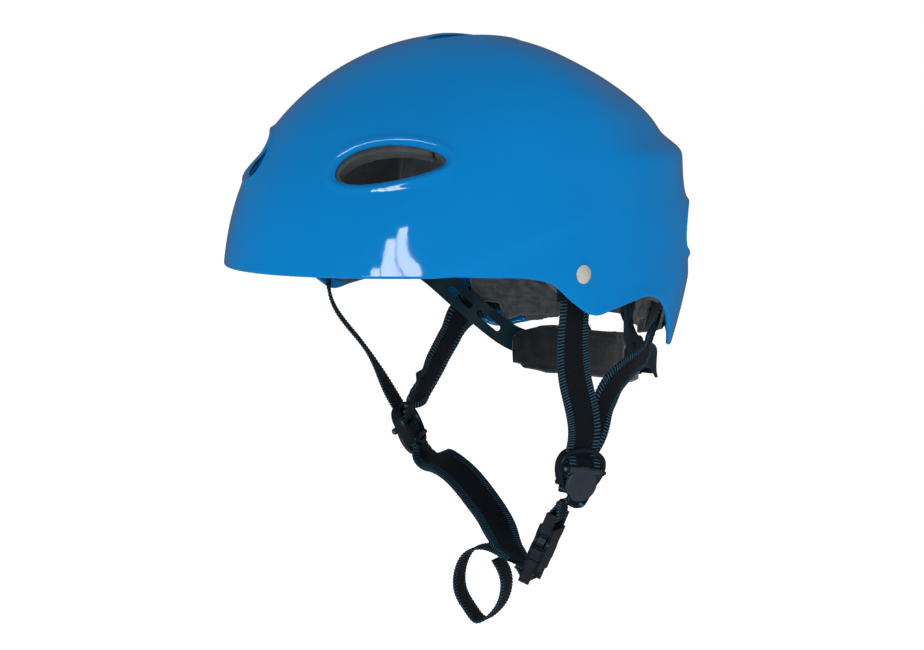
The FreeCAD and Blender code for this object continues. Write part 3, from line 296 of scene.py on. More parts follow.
def moulded_paint(name, dark, light, roughness=(0.32, 0.45), grain=0.03):
    """Moulded plastic with a fine spark-eroded grain."""
    paint = Paint(name, 0.4, Specular_IOR_Level=0.28)
    paint.colours(paint.noise(45, 5), *shade(dark, light))
    paint.rough(paint.noise(120, 4), *roughness)
    return paint.bump(paint.noise(900, 4), grain).bump(paint.noise(70, 2), 0.05).material


def metal_paint(name, dark, light, roughness=(0.16, 0.3)):
    """Bright metal with fine turned marks."""
    paint = Paint(name, 0.2, Metallic=0.55)
    paint.colours(paint.noise(150, 5), *shade(dark, light))
    paint.rough(paint.noise(260, 5), *roughness)
    return paint.bump(paint.noise(700, 3), 0.01).material


PAINTS = {
    "shell_blue": shell_paint(),
    "eva_foam": foam_paint(),
    "pad_fabric": knit_paint("pad_fabric", (0.0025, 0.0045, 0.007), (0.008, 0.011, 0.015)),
    "grey_fabric": knit_paint("grey_fabric", (0.035, 0.042, 0.047), (0.075, 0.084, 0.09)),
    "webbing": webbing_paint(),
    "rivet_steel": metal_paint("rivet_steel", (0.60, 0.58, 0.50), (0.82, 0.80, 0.70)),
    "rivet_black": moulded_paint("rivet_black", (0.004, 0.005, 0.006), (0.008, 0.010, 0.012)),
    "black_acetal": moulded_paint("black_acetal", (0.003, 0.006, 0.010), (0.007, 0.012, 0.019), (0.26, 0.38)),
    "lever_grey": moulded_paint("lever_grey", (0.014, 0.020, 0.028), (0.024, 0.033, 0.046), (0.38, 0.5)),
    "pin_steel": metal_paint("pin_steel", (0.10, 0.10, 0.11), (0.2, 0.2, 0.21), (0.3, 0.45)),
    "cradle_plastic": moulded_paint(
        "cradle_plastic", (0.002, 0.009, 0.015), (0.004, 0.022, 0.034), (0.28, 0.42)
    ),
}


def dress_cad_nodes():
    """Gives every carried-over CAD node its material."""
    slots = {entry["node"]: entry["material_slot"] for entry in frame["record"]["subparts"]}
    for node, obj in frame["nodes"].items():
        paint = PAINTS[slots[node]]
        for material_slot in obj.material_slots:
            material_slot.material = paint


dress_cad_nodes()
place_camera()
light_studio()
floor()


# ------------------------------------------------------------------ mesh helpers
def add_mesh(name, points, faces, slot, body="helmet", smooth=True, uvs=None):
    """Mesh object from points in millimetres, painted with a slot and riding on a body."""
    mesh = bpy.data.meshes.new(name)
    mesh.from_pydata([tuple(c * MM for c in p) for p in points], [], faces)
    if uvs is not None:
        layer = mesh.uv_layers.new(name="UVMap")
        for loop in mesh.loops:
            layer.data[loop.index].uv = uvs[loop.vertex_index]
    mesh.polygons.foreach_set("use_smooth", [smooth] * len(mesh.polygons))
    mesh.materials.append(PAINTS[slot])
    mesh.validate()
    mesh.update()
    obj = bpy.data.objects.new(name, mesh)
    bpy.context.scene.collection.objects.link(obj)
    if body is not None:
        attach(obj, body)
    return obj


# ------------------------------------------------------------------ the shell's surface
HALF_WIDTH, HALF_LENGTH, CROWN, WALL = 108.0, 141.0, 24.0, 3.0
WIDTH_RISE, LENGTH_RISE, WIDTH_POWER, LENGTH_POWER = 110.5, 124.5, 2.2, 2.15
RIM_Z, NECK_Z = -101.0, -97.0
EDGE_LINE = np.array([
    (-170, -101), (-110, -101), (-62, -101.6), (-42, -103), (-27, -107), (-14, -117), (-1, -124), (14, -121.8),
    (32, -118.6), (48, -117.4), (60, -121.5), (70, -129), (80, -141), (90, -148.7), (102, -147), (120, -139.5),
    (136, -136), (170, -136),
], float)  # fmt: skip


def step(x, low, high):
    """Smooth step from 0 at low to 1 at high."""
    t = np.clip((np.asarray(x, float) - low) / (high - low), 0, 1)
    return t * t * (3 - 2 * t)


def reach(half, rise, power, z):
    """Half size of the dome at a height."""
    up = np.clip((z - CROWN + rise) / rise, 0, 1)
    return half * (1 - up**power) ** (1 / power)


def centre_line(z):
    """How far back the middle of the dome lies at a height."""
    return np.where(z > NECK_Z, 0.137 * (z - NECK_Z), -0.083 * np.maximum(NECK_Z - z, 0) ** 1.35)


def base_surface(p, q):
    """Outer surface at a place on the flat map: the crown is at the middle and the brim is at radius 1."""
    r = np.hypot(p, q) + 1e-9
    angle = r * math.pi / 2
    dome = CROWN - 125.0 * (1 - np.cos(np.minimum(angle, math.pi / 2)))
    z = np.where(r < 1, dome, RIM_Z - 125.0 * (angle - math.pi / 2))
    z = np.minimum(z, CROWN - 1e-4)
    x = reach(HALF_WIDTH, WIDTH_RISE, WIDTH_POWER, z) * p / r
    y = centre_line(z) + reach(HALF_LENGTH, LENGTH_RISE, LENGTH_POWER, z) * q / r
    return np.stack([x, y, z], -1)


def normals_of(surface, p, q):
    """Outward unit normals of a surface on the flat map."""
    e = 1e-3
    du = surface(p + e, q) - surface(p - e, q)
    dv = surface(p, q + e) - surface(p, q - e)
    n = np.cross(du, dv)
    return n / (np.linalg.norm(n, axis=-1, keepdims=True) + 1e-12)


def edge_height(y):
    """Height of the shell's edge seen from the side."""
    ys, zs = EDGE_LINE.T
    slopes = np.gradient(zs, ys)
    i = np.clip(np.searchsorted(ys, y) - 1, 0, len(ys) - 2)
    gap = ys[i + 1] - ys[i]
    t = np.clip((y - ys[i]) / gap, 0, 1)
    a, b = (1 + 2 * t) * (1 - t) ** 2, t * t * (3 - 2 * t)
    return a * zs[i] + b * zs[i + 1] + gap * (t * (1 - t) ** 2 * slopes[i] - t * t * (1 - t) * slopes[i + 1])


class Vent:
    """Eye-shaped opening: an outline in a plane, projected on the dome along the plane's normal."""

    def __init__(self, origin, long_way, normal, length=58.0, height=19.5, lip=1.1, dip=2.5):
        self.origin = np.array(origin, float)
        z = np.array(normal, float)
        z /= np.linalg.norm(z)
        x = np.array(long_way, float)
        x -= z * x.dot(z)
        x /= np.linalg.norm(x)
        self.turn = -1 if self.origin[0] < -1 else 1
        self.axes = np.array([x, self.turn * np.cross(z, x), z])
        self.length, self.height, self.lip, self.dip = length, height, lip, dip
        self.line = self.outline(np.linspace(0, 2 * math.pi, 97), 0.0)
        self.angles = np.unwrap(np.arctan2(self.line[:, 1], self.line[:, 0]))

    def outline(self, angle, grow):
        """Points of the outline, grown outward by a distance."""
        full = np.where(np.sin(angle) > 0, 1.15, 0.85)
        y = (self.height / 2 + grow) * full * np.sin(angle) * (1 - 0.22 * np.cos(angle))
        return np.stack([(self.length / 2 + grow) * np.cos(angle), y], -1)

    def local(self, points):
        """Points in the vent's own axes."""
        return (points - self.origin) @ self.axes.T

    def distance(self, points):
        """Signed distance from the outline in the vent's plane, large for points on another side."""
        flat = self.local(points)
        away = np.full(flat.shape[:-1], 99.0)
        near = (np.abs(flat[..., 2]) < 34) & (np.abs(flat[..., 0]) < 46) & (np.abs(flat[..., 1]) < 30)
        if not near.any():
            return away
        spot = flat[near][:, :2]
        a, b = self.line[:-1], self.line[1:]
        run = b - a
        t = np.clip(((spot[:, None] - a) * run).sum(-1) / (run * run).sum(-1), 0, 1)
        gap = np.linalg.norm(spot[:, None] - a - t[..., None] * run, axis=-1).min(-1)
        angle = np.mod(np.arctan2(spot[:, 1], spot[:, 0]), 2 * math.pi)
        around = np.mod(self.angles, 2 * math.pi)[:-1][self.order()]
        limit = np.interp(angle, around, self.radii()[self.order()])
        away[near] = np.where(np.linalg.norm(spot, axis=-1) < limit, -gap, gap)
        return away

    def order(self):
        """Outline points in order of their angle."""
        return np.argsort(np.mod(self.angles, 2 * math.pi)[:-1])

    def radii(self):
        """Distance of each outline point from the middle."""
        return np.linalg.norm(self.line[:-1], axis=-1)

    def contour(self, count, grow):
        """The outline found on the dome's flat map."""
        target = self.outline(self.turn * np.linspace(0, 2 * math.pi, count, endpoint=False), grow)
        guess = self.middle()
        p, q = np.full(count, guess[0]), np.full(count, guess[1])
        for share in (0.3, 0.6, 0.85, 1.0, 1.0, 1.0, 1.0, 1.0):
            aim = target * share
            here = self.local(base_surface(p, q))[:, :2]
            e = 1e-4
            dp = (self.local(base_surface(p + e, q))[:, :2] - here) / e
            dq = (self.local(base_surface(p, q + e))[:, :2] - here) / e
            miss = aim - here
            det = dp[:, 0] * dq[:, 1] - dp[:, 1] * dq[:, 0]
            p = p + (miss[:, 0] * dq[:, 1] - miss[:, 1] * dq[:, 0]) / det
            q = q + (dp[:, 0] * miss[:, 1] - dp[:, 1] * miss[:, 0]) / det
        return np.stack([p, q], -1)

    def middle(self):
        """Place on the flat map nearest the vent's middle."""
        side = np.linspace(-1.1, 1.1, 111)
        p, q = np.meshgrid(side, side)
        flat = self.local(base_surface(p, q))
        score = np.hypot(flat[..., 0], flat[..., 1]) + np.where(np.abs(flat[..., 2]) < 34, 0, 1e3)
        k = np.unravel_index(score.argmin(), score.shape)
        return (p[k], q[k]) if self.height > 19.2 else (0.004, 0.052)


FRONT_VENT = ((52.6, -96.5, -43.5), (0.766, 0.625, 0.165), (0.56, -0.70, 0.44))
REAR_VENT = ((58.5, 117.0, -87.0), (-0.768, 0.640, 0.0), (0.640, 0.768, 0.05))


def across_the_middle(vent):
    """The same vent on the wearer's right."""
    return tuple((-x, y, z) for x, y, z in vent)


VENTS = [
    Vent(*FRONT_VENT), Vent(*across_the_middle(FRONT_VENT)),
    Vent(*REAR_VENT), Vent(*across_the_middle(REAR_VENT)),
    Vent((0.0, 7.0, 20.0), (0.0, -1.0, 0.0), (0.0, 0.0, 1.0), 58.0, 19.0, 0.5, 0.9),
]  # fmt: skip

# Ridge that runs back from the brow, and the line under which the skirt flares out: pairs of (y, z).
RIDGE = np.array([(-120, -109), (-94, -100.4), (-79, -95.2), (-51, -84.1),
                  (-19, -74.6), (5, -68.6), (27, -63.7), (60, -58)])  # fmt: skip
FLARE = np.array([(-30, -128), (-6, -122), (18, -114.2), (52, -109.8), (73, -106.9), (92, -104), (140, -102)])


def bell(x, width):
    """Bell curve of a half width."""
    return np.exp(-((x / width) ** 2))


def broad_relief(points):
    """Wide shape changes over the plain dome: a flatter upper rear that ends in a low tail."""
    y, z = points[..., 1], points[..., 2]
    back = step(y - centre_line(z), -30 + 30 * step(-z, -20, 20), 62)
    flat = -6.2 * step(z, -45, -28) - 3.4 * step(z, -28, 5) * (1 - step(z, 14, 34))
    crown = -2.0 * step(z, 14, 42) * (1 - 0.4 * back)
    return crown + back * (flat - 2.4 * bell(z + 62, 13) + 0.8 * bell(z + 44, 5.5))


def relief(points):
    """How far the shell stands out from the plain dome: creases, skirt and vent lips."""
    y, z = points[..., 1], points[..., 2]
    above = z - np.interp(y, *RIDGE.T)
    crease = 2.0 * np.where(above > 0, bell(above, 13), bell(above, 4.6))
    crease = crease * (1 - step(y, -12, 34)) * step(y, -112, -84)
    under = np.interp(y, *FLARE.T) - z
    skirt = 2.4 * step(under, -3.0, 9) * step(y, -26, 6) * (1 - 0.6 * step(y, 92, 128))
    total = broad_relief(points) + crease + skirt
    for vent in VENTS:
        d = vent.distance(points)
        total = total + vent.lip * bell(d - 4.6, 1.9) - vent.dip * (1 - step(d, -0.4, 3.6))
    return total


def shell_surface(p, q):
    """The shell's outer surface on the flat map."""
    points = base_surface(p, q)
    return points + normals_of(base_surface, p, q) * relief(points)[..., None]


def rim_loop(count, lift):
    """The shell's edge on the flat map, raised by a distance."""
    angle = np.linspace(0, 2 * math.pi, count, endpoint=False)
    low, high = np.full(count, 0.9), np.full(count, 1.4)
    for _ in range(40):
        r = (low + high) / 2
        points = base_surface(r * np.cos(angle), r * np.sin(angle))
        inside = points[:, 2] > edge_height(points[:, 1]) + lift
        low, high = np.where(inside, r, low), np.where(inside, high, r)
    return np.stack([low * np.cos(angle), low * np.sin(angle)], -1)


def flat_net():
    """Triangles of the flat map: a grid with rings round every vent, cut to the rim and the vents."""
    spacing = 0.0175
    side = np.arange(-1.32, 1.32, spacing)
    p, q = np.meshgrid(side, side)
    p = p + (np.arange(len(side)) % 2)[:, None] * spacing / 2
    grid = np.stack([p.ravel(), q.ravel()], -1)
    rim = rim_loop(520, 1.5)
    rim_radius = np.interp(np.mod(np.arctan2(grid[:, 1], grid[:, 0]), 2 * math.pi),
                           np.linspace(0, 2 * math.pi, len(rim) + 1), np.append(np.hypot(*rim.T), np.hypot(*rim[0])))  # fmt: skip
    keep = np.hypot(*grid.T) < rim_radius - 0.011
    spots = base_surface(*grid.T)
    for vent in VENTS:
        keep &= vent.distance(spots) > 9.6
    loops = [rim, rim_loop(420, 4.2)]
    edges_of = [True, False]
    for vent in VENTS:
        for grow in (1.5, 2.3, 3.1, 3.9, 4.7, 5.6, 6.6, 7.8, 9.2):
            loops.append(vent.contour(120, grow))
            edges_of.append(grow == 1.5)
    points, edges, chains = [grid[keep]], [], []
    total = int(keep.sum())
    for loop, fixed in zip(loops, edges_of):
        if fixed:
            chain = np.arange(total, total + len(loop))
            chains.append(chain)
            edges += [(int(a), int(b)) for a, b in zip(chain, np.roll(chain, -1))]
        points.append(loop)
        total += len(loop)
    flat = np.concatenate(points)
    result = geometry.delaunay_2d_cdt([Vector(c) for c in flat], edges, [], 0, 1e-7)
    made, faces, source = np.array([tuple(c) for c in result[0]]), np.array(result[2]), result[3]
    new_index = {}
    for i, origins in enumerate(source):
        for origin in origins:
            new_index[origin] = i
    middle = made[faces].mean(1)
    radius = np.interp(np.mod(np.arctan2(middle[:, 1], middle[:, 0]), 2 * math.pi),
                       np.linspace(0, 2 * math.pi, len(rim) + 1), np.append(np.hypot(*rim.T), np.hypot(*rim[0])))  # fmt: skip
    wanted = np.hypot(*middle.T) < radius
    centres = base_surface(*middle.T)
    for vent in VENTS:
        wanted &= vent.distance(centres) > 1.35
    return made, faces[wanted], [[new_index[int(i)] for i in chain] for chain in chains]


def build_shell():
    """Hard shell: outer and inner skins joined by rounded edges, with exact normals for the gloss."""
    flat, faces, chains = flat_net()
    p, q = flat.T
    outer = shell_surface(p, q)
    normal = normals_of(shell_surface, p, q)
    if (normal * (outer - np.array([0, 0, -60.0]))).sum() < 0:
        normal = -normal
    corner = outer[faces]
    facing = np.cross(corner[:, 1] - corner[:, 0], corner[:, 2] - corner[:, 0])
    flip = (facing * normal[faces].mean(1)).sum(-1) < 0
    faces = np.where(flip[:, None], faces[:, ::-1], faces)
    count = len(flat)
    points = [outer, outer - normal * WALL]
    normals = [normal, -normal]
    polygons = [tuple(map(int, f)) for f in faces] + [tuple(int(i) + count for i in f[::-1]) for f in faces]
    total = 2 * count
    edge_of = {(int(f[k]), int(f[(k + 1) % 3])) for f in faces for k in range(3)}
    for chain in chains:
        if (chain[0], chain[1]) not in edge_of:
            chain = chain[::-1]
        spot, up = outer[chain], normal[chain]
        along = np.roll(spot, -1, 0) - np.roll(spot, 1, 0)
        out = np.cross(along, up)
        out /= np.linalg.norm(out, axis=-1, keepdims=True)
        rings = [np.array(chain)]
        half = WALL / 2
        for degrees in (35, 65, 90, 115, 145):
            a = math.radians(degrees)
            points.append(spot + out * half * math.sin(a) - up * half * (1 - math.cos(a)))
            normals.append(out * math.sin(a) + up * math.cos(a))
            rings.append(np.arange(total, total + len(chain)))
            total += len(chain)
        rings.append(np.array(chain) + count)
        for near, far in zip(rings, rings[1:]):
            for k in range(len(chain)):
                k2 = (k + 1) % len(chain)
                polygons.append((int(near[k2]), int(near[k]), int(far[k]), int(far[k2])))
    points, normals = np.concatenate(points), np.concatenate(normals)
    shell = add_mesh("shell", points, polygons, "shell_blue")
    shell.data.normals_split_custom_set_from_vertices([tuple(n) for n in normals])
    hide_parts("outer_shell")
    return shell


build_shell()


# ------------------------------------------------------------------ foam and pads
def copy_node(name, node, body="helmet"):
    """New piece with the mesh of a CAD node, which it replaces."""
    source = frame["nodes"][node]
    mesh = source.data.copy()
    mesh.name = name
    mesh.materials.clear()
    slot = next(entry["material_slot"] for entry in frame["record"]["subparts"] if entry["node"] == node)
    mesh.materials.append(PAINTS[slot])
    mesh.polygons.foreach_set("material_index", [0] * len(mesh.polygons))
    piece = bpy.data.objects.new(name, mesh)
    bpy.context.scene.collection.objects.link(piece)
    if body is not None:
        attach(piece, body)
    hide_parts(node)
    return piece


def applied(piece, *modifiers):
    """Adds modifiers of (type, settings) and applies them."""
    for kind, settings in modifiers:
        made = piece.modifiers.new(kind.lower(), kind)
        for key, value in settings.items():
            setattr(made, key, value)
    bpy.context.view_layer.update()
    result = bpy.data.meshes.new_from_object(piece.evaluated_get(bpy.context.evaluated_depsgraph_get()))
    piece.modifiers.clear()
    piece.data = result
    result.polygons.foreach_set("use_smooth", [True] * len(result.polygons))
    return piece


def points_of(piece):
    """A piece's points in millimetres."""
    flat = np.empty(len(piece.data.vertices) * 3)
    piece.data.vertices.foreach_get("co", flat)
    return flat.reshape(-1, 3) / MM


def move_points(piece, points):
    """Sets a piece's points, given in millimetres."""
    piece.data.vertices.foreach_set("co", (points * MM).ravel())
    piece.data.update()


def follow_shell(points):
    """Moves points inward with the shell's broad relief, so that foam and pads stay under it."""
    middle = np.stack([np.zeros(len(points)), np.full(len(points), 8.0), np.full(len(points), -70.0)], -1)
    out = points - middle
    out /= np.linalg.norm(out, axis=-1, keepdims=True)
    return points + out * np.minimum(broad_relief(points), 0)[:, None]


def build_foam():
    """Soft-edged foam panels under the shell."""
    for panel in ("crown", "front", "rear", "left", "right"):
        piece = copy_node(f"liner_{panel}", f"foam_{panel}")
        applied(piece, ("REMESH", {"mode": "VOXEL", "voxel_size": 1.6 * MM}),
                ("SMOOTH", {"factor": 0.5, "iterations": 3}))  # fmt: skip
        points = follow_shell(points_of(piece))
        for vent in VENTS:
            d = vent.distance(points)
            local = vent.local(points)
            deep = -1.9 * (1 - step(d, 1.5, 6.5)) * step(local[:, 2], -22, -8)
            points = points + deep[:, None] * vent.axes[2]
        move_points(piece, points)


build_foam()


def swell(piece, limit, pressure=4.0, voxel=4.0):
    """Padded fabric: remesh, blow up with cloth pressure, cap how far each point moves, and smooth once."""
    applied(piece, ("REMESH", {"mode": "VOXEL", "voxel_size": voxel * MM}))
    start = points_of(piece)
    cloth = piece.modifiers.new("cloth", "CLOTH")
    cloth.settings.use_pressure = True
    cloth.settings.uniform_pressure_force = pressure
    cloth.settings.effector_weights.gravity = 0
    cloth.settings.quality = 4
    scene = bpy.context.scene
    for number in range(1, 21):
        scene.frame_set(number)
    evaluated = piece.evaluated_get(bpy.context.evaluated_depsgraph_get())
    moved = bpy.data.meshes.new_from_object(evaluated)
    piece.modifiers.clear()
    scene.frame_set(1)
    flat = np.empty(len(moved.vertices) * 3)
    moved.vertices.foreach_get("co", flat)
    shift = flat.reshape(-1, 3) / MM - start
    size = np.linalg.norm(shift, axis=-1, keepdims=True)
    move_points(piece, start + shift * np.minimum(1, limit / np.maximum(size, 1e-6)))
    return applied(piece, ("SMOOTH", {"factor": 0.5, "iterations": 2}), ("SUBSURF", {"levels": 1}))


def seam(piece, across, width, depth):
    """Sinks a sewn line where across(points) is near zero."""
    points = points_of(piece)
    normals = np.empty(len(piece.data.vertices) * 3)
    piece.data.vertices.foreach_get("normal", normals)
    sink = depth * bell(across(points), width)
    move_points(piece, points - normals.reshape(-1, 3) * sink[:, None])


def crumple(piece, length, depth, stretch=(1.0, 1.0, 1.0)):
    """Creases a fabric surface with two sizes of folded noise."""
    from mathutils import noise

    points = points_of(piece)
    normals = np.empty(len(piece.data.vertices) * 3)
    piece.data.vertices.foreach_get("normal", normals)
    stretched = points * np.array(stretch) / length
    spots = [Vector(c) for c in stretched]
    fold = np.array([1 - 2 * abs(noise.noise(c)) + 0.5 * noise.noise(c * 2.7) for c in spots])
    move_points(piece, points + normals.reshape(-1, 3) * (fold * depth)[:, None])


def build_pads():
    """Comfort pads: knitted fabric over soft foam."""
    limits = {"front_pad": 1.6, "side_pad_left": 1.6, "side_pad_right": 1.6, "crown_pad": 1.3}
    for label, limit in limits.items():
        piece = copy_node(f"{label}_cover", label)
        move_points(piece, follow_shell(points_of(piece)))
        swell(piece, limit)
    nape = copy_node("nape_pad_cover", "nape_pad")
    applied(nape, ("REMESH", {"mode": "VOXEL", "voxel_size": 1.5 * MM}))
    spots = points_of(nape)
    tip = np.clip((np.abs(spots[:, 0]) - (np.abs(spots[:, 0]).max() - 20)) / 20, 0, 1)
    middle = (spots[:, 2].max() + spots[:, 2].min()) / 2
    spots[:, 2] = middle + (spots[:, 2] - middle) * (0.25 + 0.75 * np.sqrt(1 - tip * tip * 0.999))
    move_points(nape, spots)
    swell(nape, 0.8, voxel=3.0)
    seam(nape, lambda c: np.abs(np.abs(c[:, 2] + 160) - 9.0), 0.9, 0.5)
    rear = copy_node("rear_pad_cover", "rear_pad")
    remesh = ("REMESH", {"mode": "VOXEL", "voxel_size": 1.3 * MM})
    applied(rear, remesh, ("SMOOTH", {"factor": 0.5, "iterations": 4}), ("SUBSURF", {"levels": 1}))
    crumple(rear, 9.0, 0.55, (1.0, 1.0, 1.9))


build_pads()


# ------------------------------------------------------------------ webbing
WEB_THICK, RIB = 1.3, 1.75


def unit(v):
    """Unit vector."""
    return v / np.linalg.norm(v)


class Frame:
    """Hardware frame: local Y along up, local Z along the normal."""

    def __init__(self, origin, up, normal):
        self.origin = np.array(origin, float)
        y = unit(np.array(up, float))
        z = np.array(normal, float)
        z = unit(z - y * z.dot(y))
        self.axes = np.array([np.cross(y, z), y, z])

    def at(self, x, y, z):
        """A point given in this frame."""
        return self.origin + np.array([x, y, z], float) @ self.axes

    def turned_x(self, degrees, height):
        """This frame turned about its X at a height along its Y."""
        c, s = math.cos(math.radians(degrees)), math.sin(math.radians(degrees))
        up, normal = self.axes[1] * c + self.axes[2] * s, self.axes[2] * c - self.axes[1] * s
        return Frame(self.at(0, height, 0), up, normal)


DIVIDER_LEFT = Frame((81, 14, -212), (0.22, 0.12, 0.965), (0.96, -0.20, -0.18))
DIVIDER_RIGHT = Frame((-72, 27, -202), (-0.35, -0.34, 0.87), (-0.75, -0.44, -0.48))
BUCKLE = Frame((63.9, 0.6, -259), (0.33, 0.22, 0.92), (0.788, 0.474, -0.390))
PLUG_WRAP = BUCKLE.turned_x(-72, -10.6)


def spline(points, pitch):
    """Natural cubic spline with chord spacing, sampled evenly. Returns points and their shares."""
    points = np.array(points, float)
    marks = np.concatenate([[0], np.cumsum(np.linalg.norm(np.diff(points, axis=0), axis=1))])
    n, h = len(points), np.diff(marks)
    left, right = np.eye(n), np.zeros((n, 3))
    for i in range(1, n - 1):
        left[i, i - 1], left[i, i], left[i, i + 1] = h[i - 1], 2 * (h[i - 1] + h[i]), h[i]
        right[i] = 6 * ((points[i + 1] - points[i]) / h[i] - (points[i] - points[i - 1]) / h[i - 1])
    bend = np.linalg.solve(left, right)
    count = max(8, int(marks[-1] / pitch))
    u = np.linspace(0, marks[-1], count + 1)
    i = np.clip(np.searchsorted(marks, u, side="right") - 1, 0, n - 2)
    a, b = ((marks[i + 1] - u) / h[i])[:, None], ((u - marks[i]) / h[i])[:, None]
    hh = (h[i] ** 2)[:, None] / 6
    curve = a * points[i] + b * points[i + 1] + ((a**3 - a) * bend[i] + (b**3 - b) * bend[i + 1]) * hh
    return curve, i, b[:, 0]


def ribbon_rows(route, offset=0.0, pitch=0.44, flatten=1.0):
    """Cross sections of a run of webbing. Each has ribbed bands at its edges and a smooth middle."""
    curve, i, share = spline([p for p, _ in route], pitch)
    wides = np.array([unit(np.array(w, float)) for _, w in route])
    share = (share * share * (3 - 2 * share))[:, None]
    wide = wides[i] * (1 - share) + wides[np.minimum(i + 1, len(wides) - 1)] * share
    tangent = np.gradient(curve, axis=0)
    tangent /= np.linalg.norm(tangent, axis=1, keepdims=True)
    wide -= tangent * (wide * tangent).sum(1, keepdims=True)
    wide /= np.linalg.norm(wide, axis=1, keepdims=True)
    up = np.cross(tangent, wide)
    length = np.concatenate([[0], np.cumsum(np.linalg.norm(np.diff(curve, axis=0), axis=1))])
    top = [-9.75, -9.0, -8.0, -6.9, -6.1, -5.7, -3, 0, 3, 5.7, 6.1, 6.9, 8.0, 9.0, 9.75]
    section = [(c, 1) for c in top] + [(10.0, 0)] + [(c, -1) for c in reversed(top)] + [(-10.0, 0)]
    rows = []
    for c, side in section:
        band = 1.0 if abs(c) > 5.9 else 0.0
        rib = 0.20 * np.cos(2 * math.pi * length / RIB) * band
        level = side * (WEB_THICK / 2 * (0.86 if band else 0.93 if abs(c) > 5.5 else 1.0) + rib * abs(side))
        rows.append(curve + wide * c + up * (level[:, None] * flatten + offset))
    return np.stack(rows, 1), length, [c for c, _ in section]


def add_ribbons(name, slot, body, *runs):
    """One piece of webbing made of one or more runs, each a (rows, length, across) of ribbon_rows."""
    points, faces, uvs = [], [], []
    for rows, length, across in runs:
        n, m = rows.shape[:2]
        first = len(points)
        points += rows.reshape(-1, 3).tolist()
        uvs += [(float(s), float(c)) for s in length for c in across]
        for i in range(n - 1):
            for k in range(m):
                a, b = first + i * m + k, first + i * m + (k + 1) % m
                faces.append((a, b, b + m, a + m))
        faces.append([first + k for k in range(m)][::-1])
        faces.append([first + (n - 1) * m + k for k in range(m)])
    piece = add_mesh(name, points, faces, slot, body, uvs=uvs)
    tidy = piece.data
    tidy.update()
    return piece


def wall_x(y, z):
    """How far out the dome's wall is at a place."""
    share = (y - centre_line(z)) / reach(HALF_LENGTH, LENGTH_RISE, LENGTH_POWER, z)
    return float(reach(HALF_WIDTH, WIDTH_RISE, WIDTH_POWER, z) * math.sqrt(1 - share * share))


def wall_normal(point):
    """Outward normal of the dome's wall near or below the brim."""
    x, y, z = point
    lengthwise = (y - centre_line(z)) / HALF_LENGTH**2
    slope = centre_line(z + 0.5) - centre_line(z - 0.5)
    return unit(np.array([x / HALF_WIDTH**2, lengthwise, -lengthwise * slope], float))


SIDE_RIVET = np.array([wall_x(-8.5, RIM_Z - 1), -8.5, RIM_Z - 1])
REAR_RIVET = np.array([wall_x(95, -127), 95, -127])
ACROSS = np.array([-1, 1, 1])


LAYER = WEB_THICK / 2 + 0.22  # each run's offset from the middle of a divider's sleeve


def strap_start(point, away):
    """Where a strap leaves its hanger, its first direction, the wall's normal and the width direction."""
    out, away = wall_normal(point), np.array(away, float)
    away = unit(away - out * away.dot(out))
    return point - out * (WALL + 1.4 + 1.6 + 0.1 + WEB_THICK / 2), away, out, np.cross(away, out)


def front_route(point, frame_of, turns, across=None):
    """Route from a side hanger to the divider's sleeve. Turns are shares of the twist at three points."""
    start, away, out, level = strap_start(point, (0, 0, -1))
    wide = frame_of.axes[0]
    level = -level if level.dot(wide) < 0 else level
    clear, entry = start + away * 24 - out, frame_of.at(-3.2, 18.5, LAYER * 1.5)
    across = wide if across is None else np.array(across)
    spots = (start + away * 14, clear, clear * 0.5 + entry * 0.5 - wide * 2.5)
    route = [(start + away * 5.5, level)]
    route += [(spot, level * (1 - turn) + across * turn) for spot, turn in zip(spots, turns)]
    sleeve = [(frame_of.at(-2.2, 11, LAYER), wide), (frame_of.at(-0.8, 4.0, LAYER), wide)]
    return [*route, (entry, wide), *sleeve]


def rear_route(point, frame_of, down, middle, entry):
    """Route from a rear hanger down the wall, then forward through the middle points to the sleeve."""
    start, away, out, level = strap_start(point, (0, -0.35, -0.94))
    wide = frame_of.axes[0]
    level = -level if level.dot(wide) < 0 else level
    route = [(start + away * 5.5 - out * 0.5, level)]
    if down:
        route.append((start + away * down - out * 2.0, level))
    for turn, spot in middle:
        route.append((np.array(spot, float), level * (1 - turn) + wide * turn))
    return route + [(frame_of.at(*spot), wide) for spot in entry]


def build_straps():
    """Straps from the four hangers to the two dividers."""
    far_rivet, far_rear = SIDE_RIVET * ACROSS, REAR_RIVET * ACROSS
    left_middle = [(0.15, (77, 66, -152.5)), (0.4, (82, 46, -161)), (0.6, (85, 30, -173))]
    left_entry = [(2.6, 19.5, -LAYER * 1.7), (0, 11, -LAYER), (0, 4.0, -LAYER)]
    right_middle = [
        (0.4, (-72, 68, -140)), (0.6, (-76, 62, -152)), (0.65, (-78.5, 54, -166)), (0.8, (-77.5, 43, -180)),
    ]  # fmt: skip
    right_entry = [(0.5, 12, -7.5), (0, 4.0, -LAYER)]
    for name, side, route in (
        ("front", "left", front_route(SIDE_RIVET, DIVIDER_LEFT, (0.0, 0.25, 0.7))),
        ("front", "right", front_route(far_rivet, DIVIDER_RIGHT, (0.8, 1.0, 1.0), (0.74, -0.67, 0.0))),
        ("rear", "left", rear_route(REAR_RIVET, DIVIDER_LEFT, 16, left_middle, left_entry)),
        ("rear", "right", rear_route(far_rear, DIVIDER_RIGHT, 0, right_middle, right_entry)),
    ):
        piece = add_ribbons(f"{name}_webbing_{side}", "webbing", None, ribbon_rows(route))
        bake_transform(piece)
        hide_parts(f"{name}_strap_{side}")


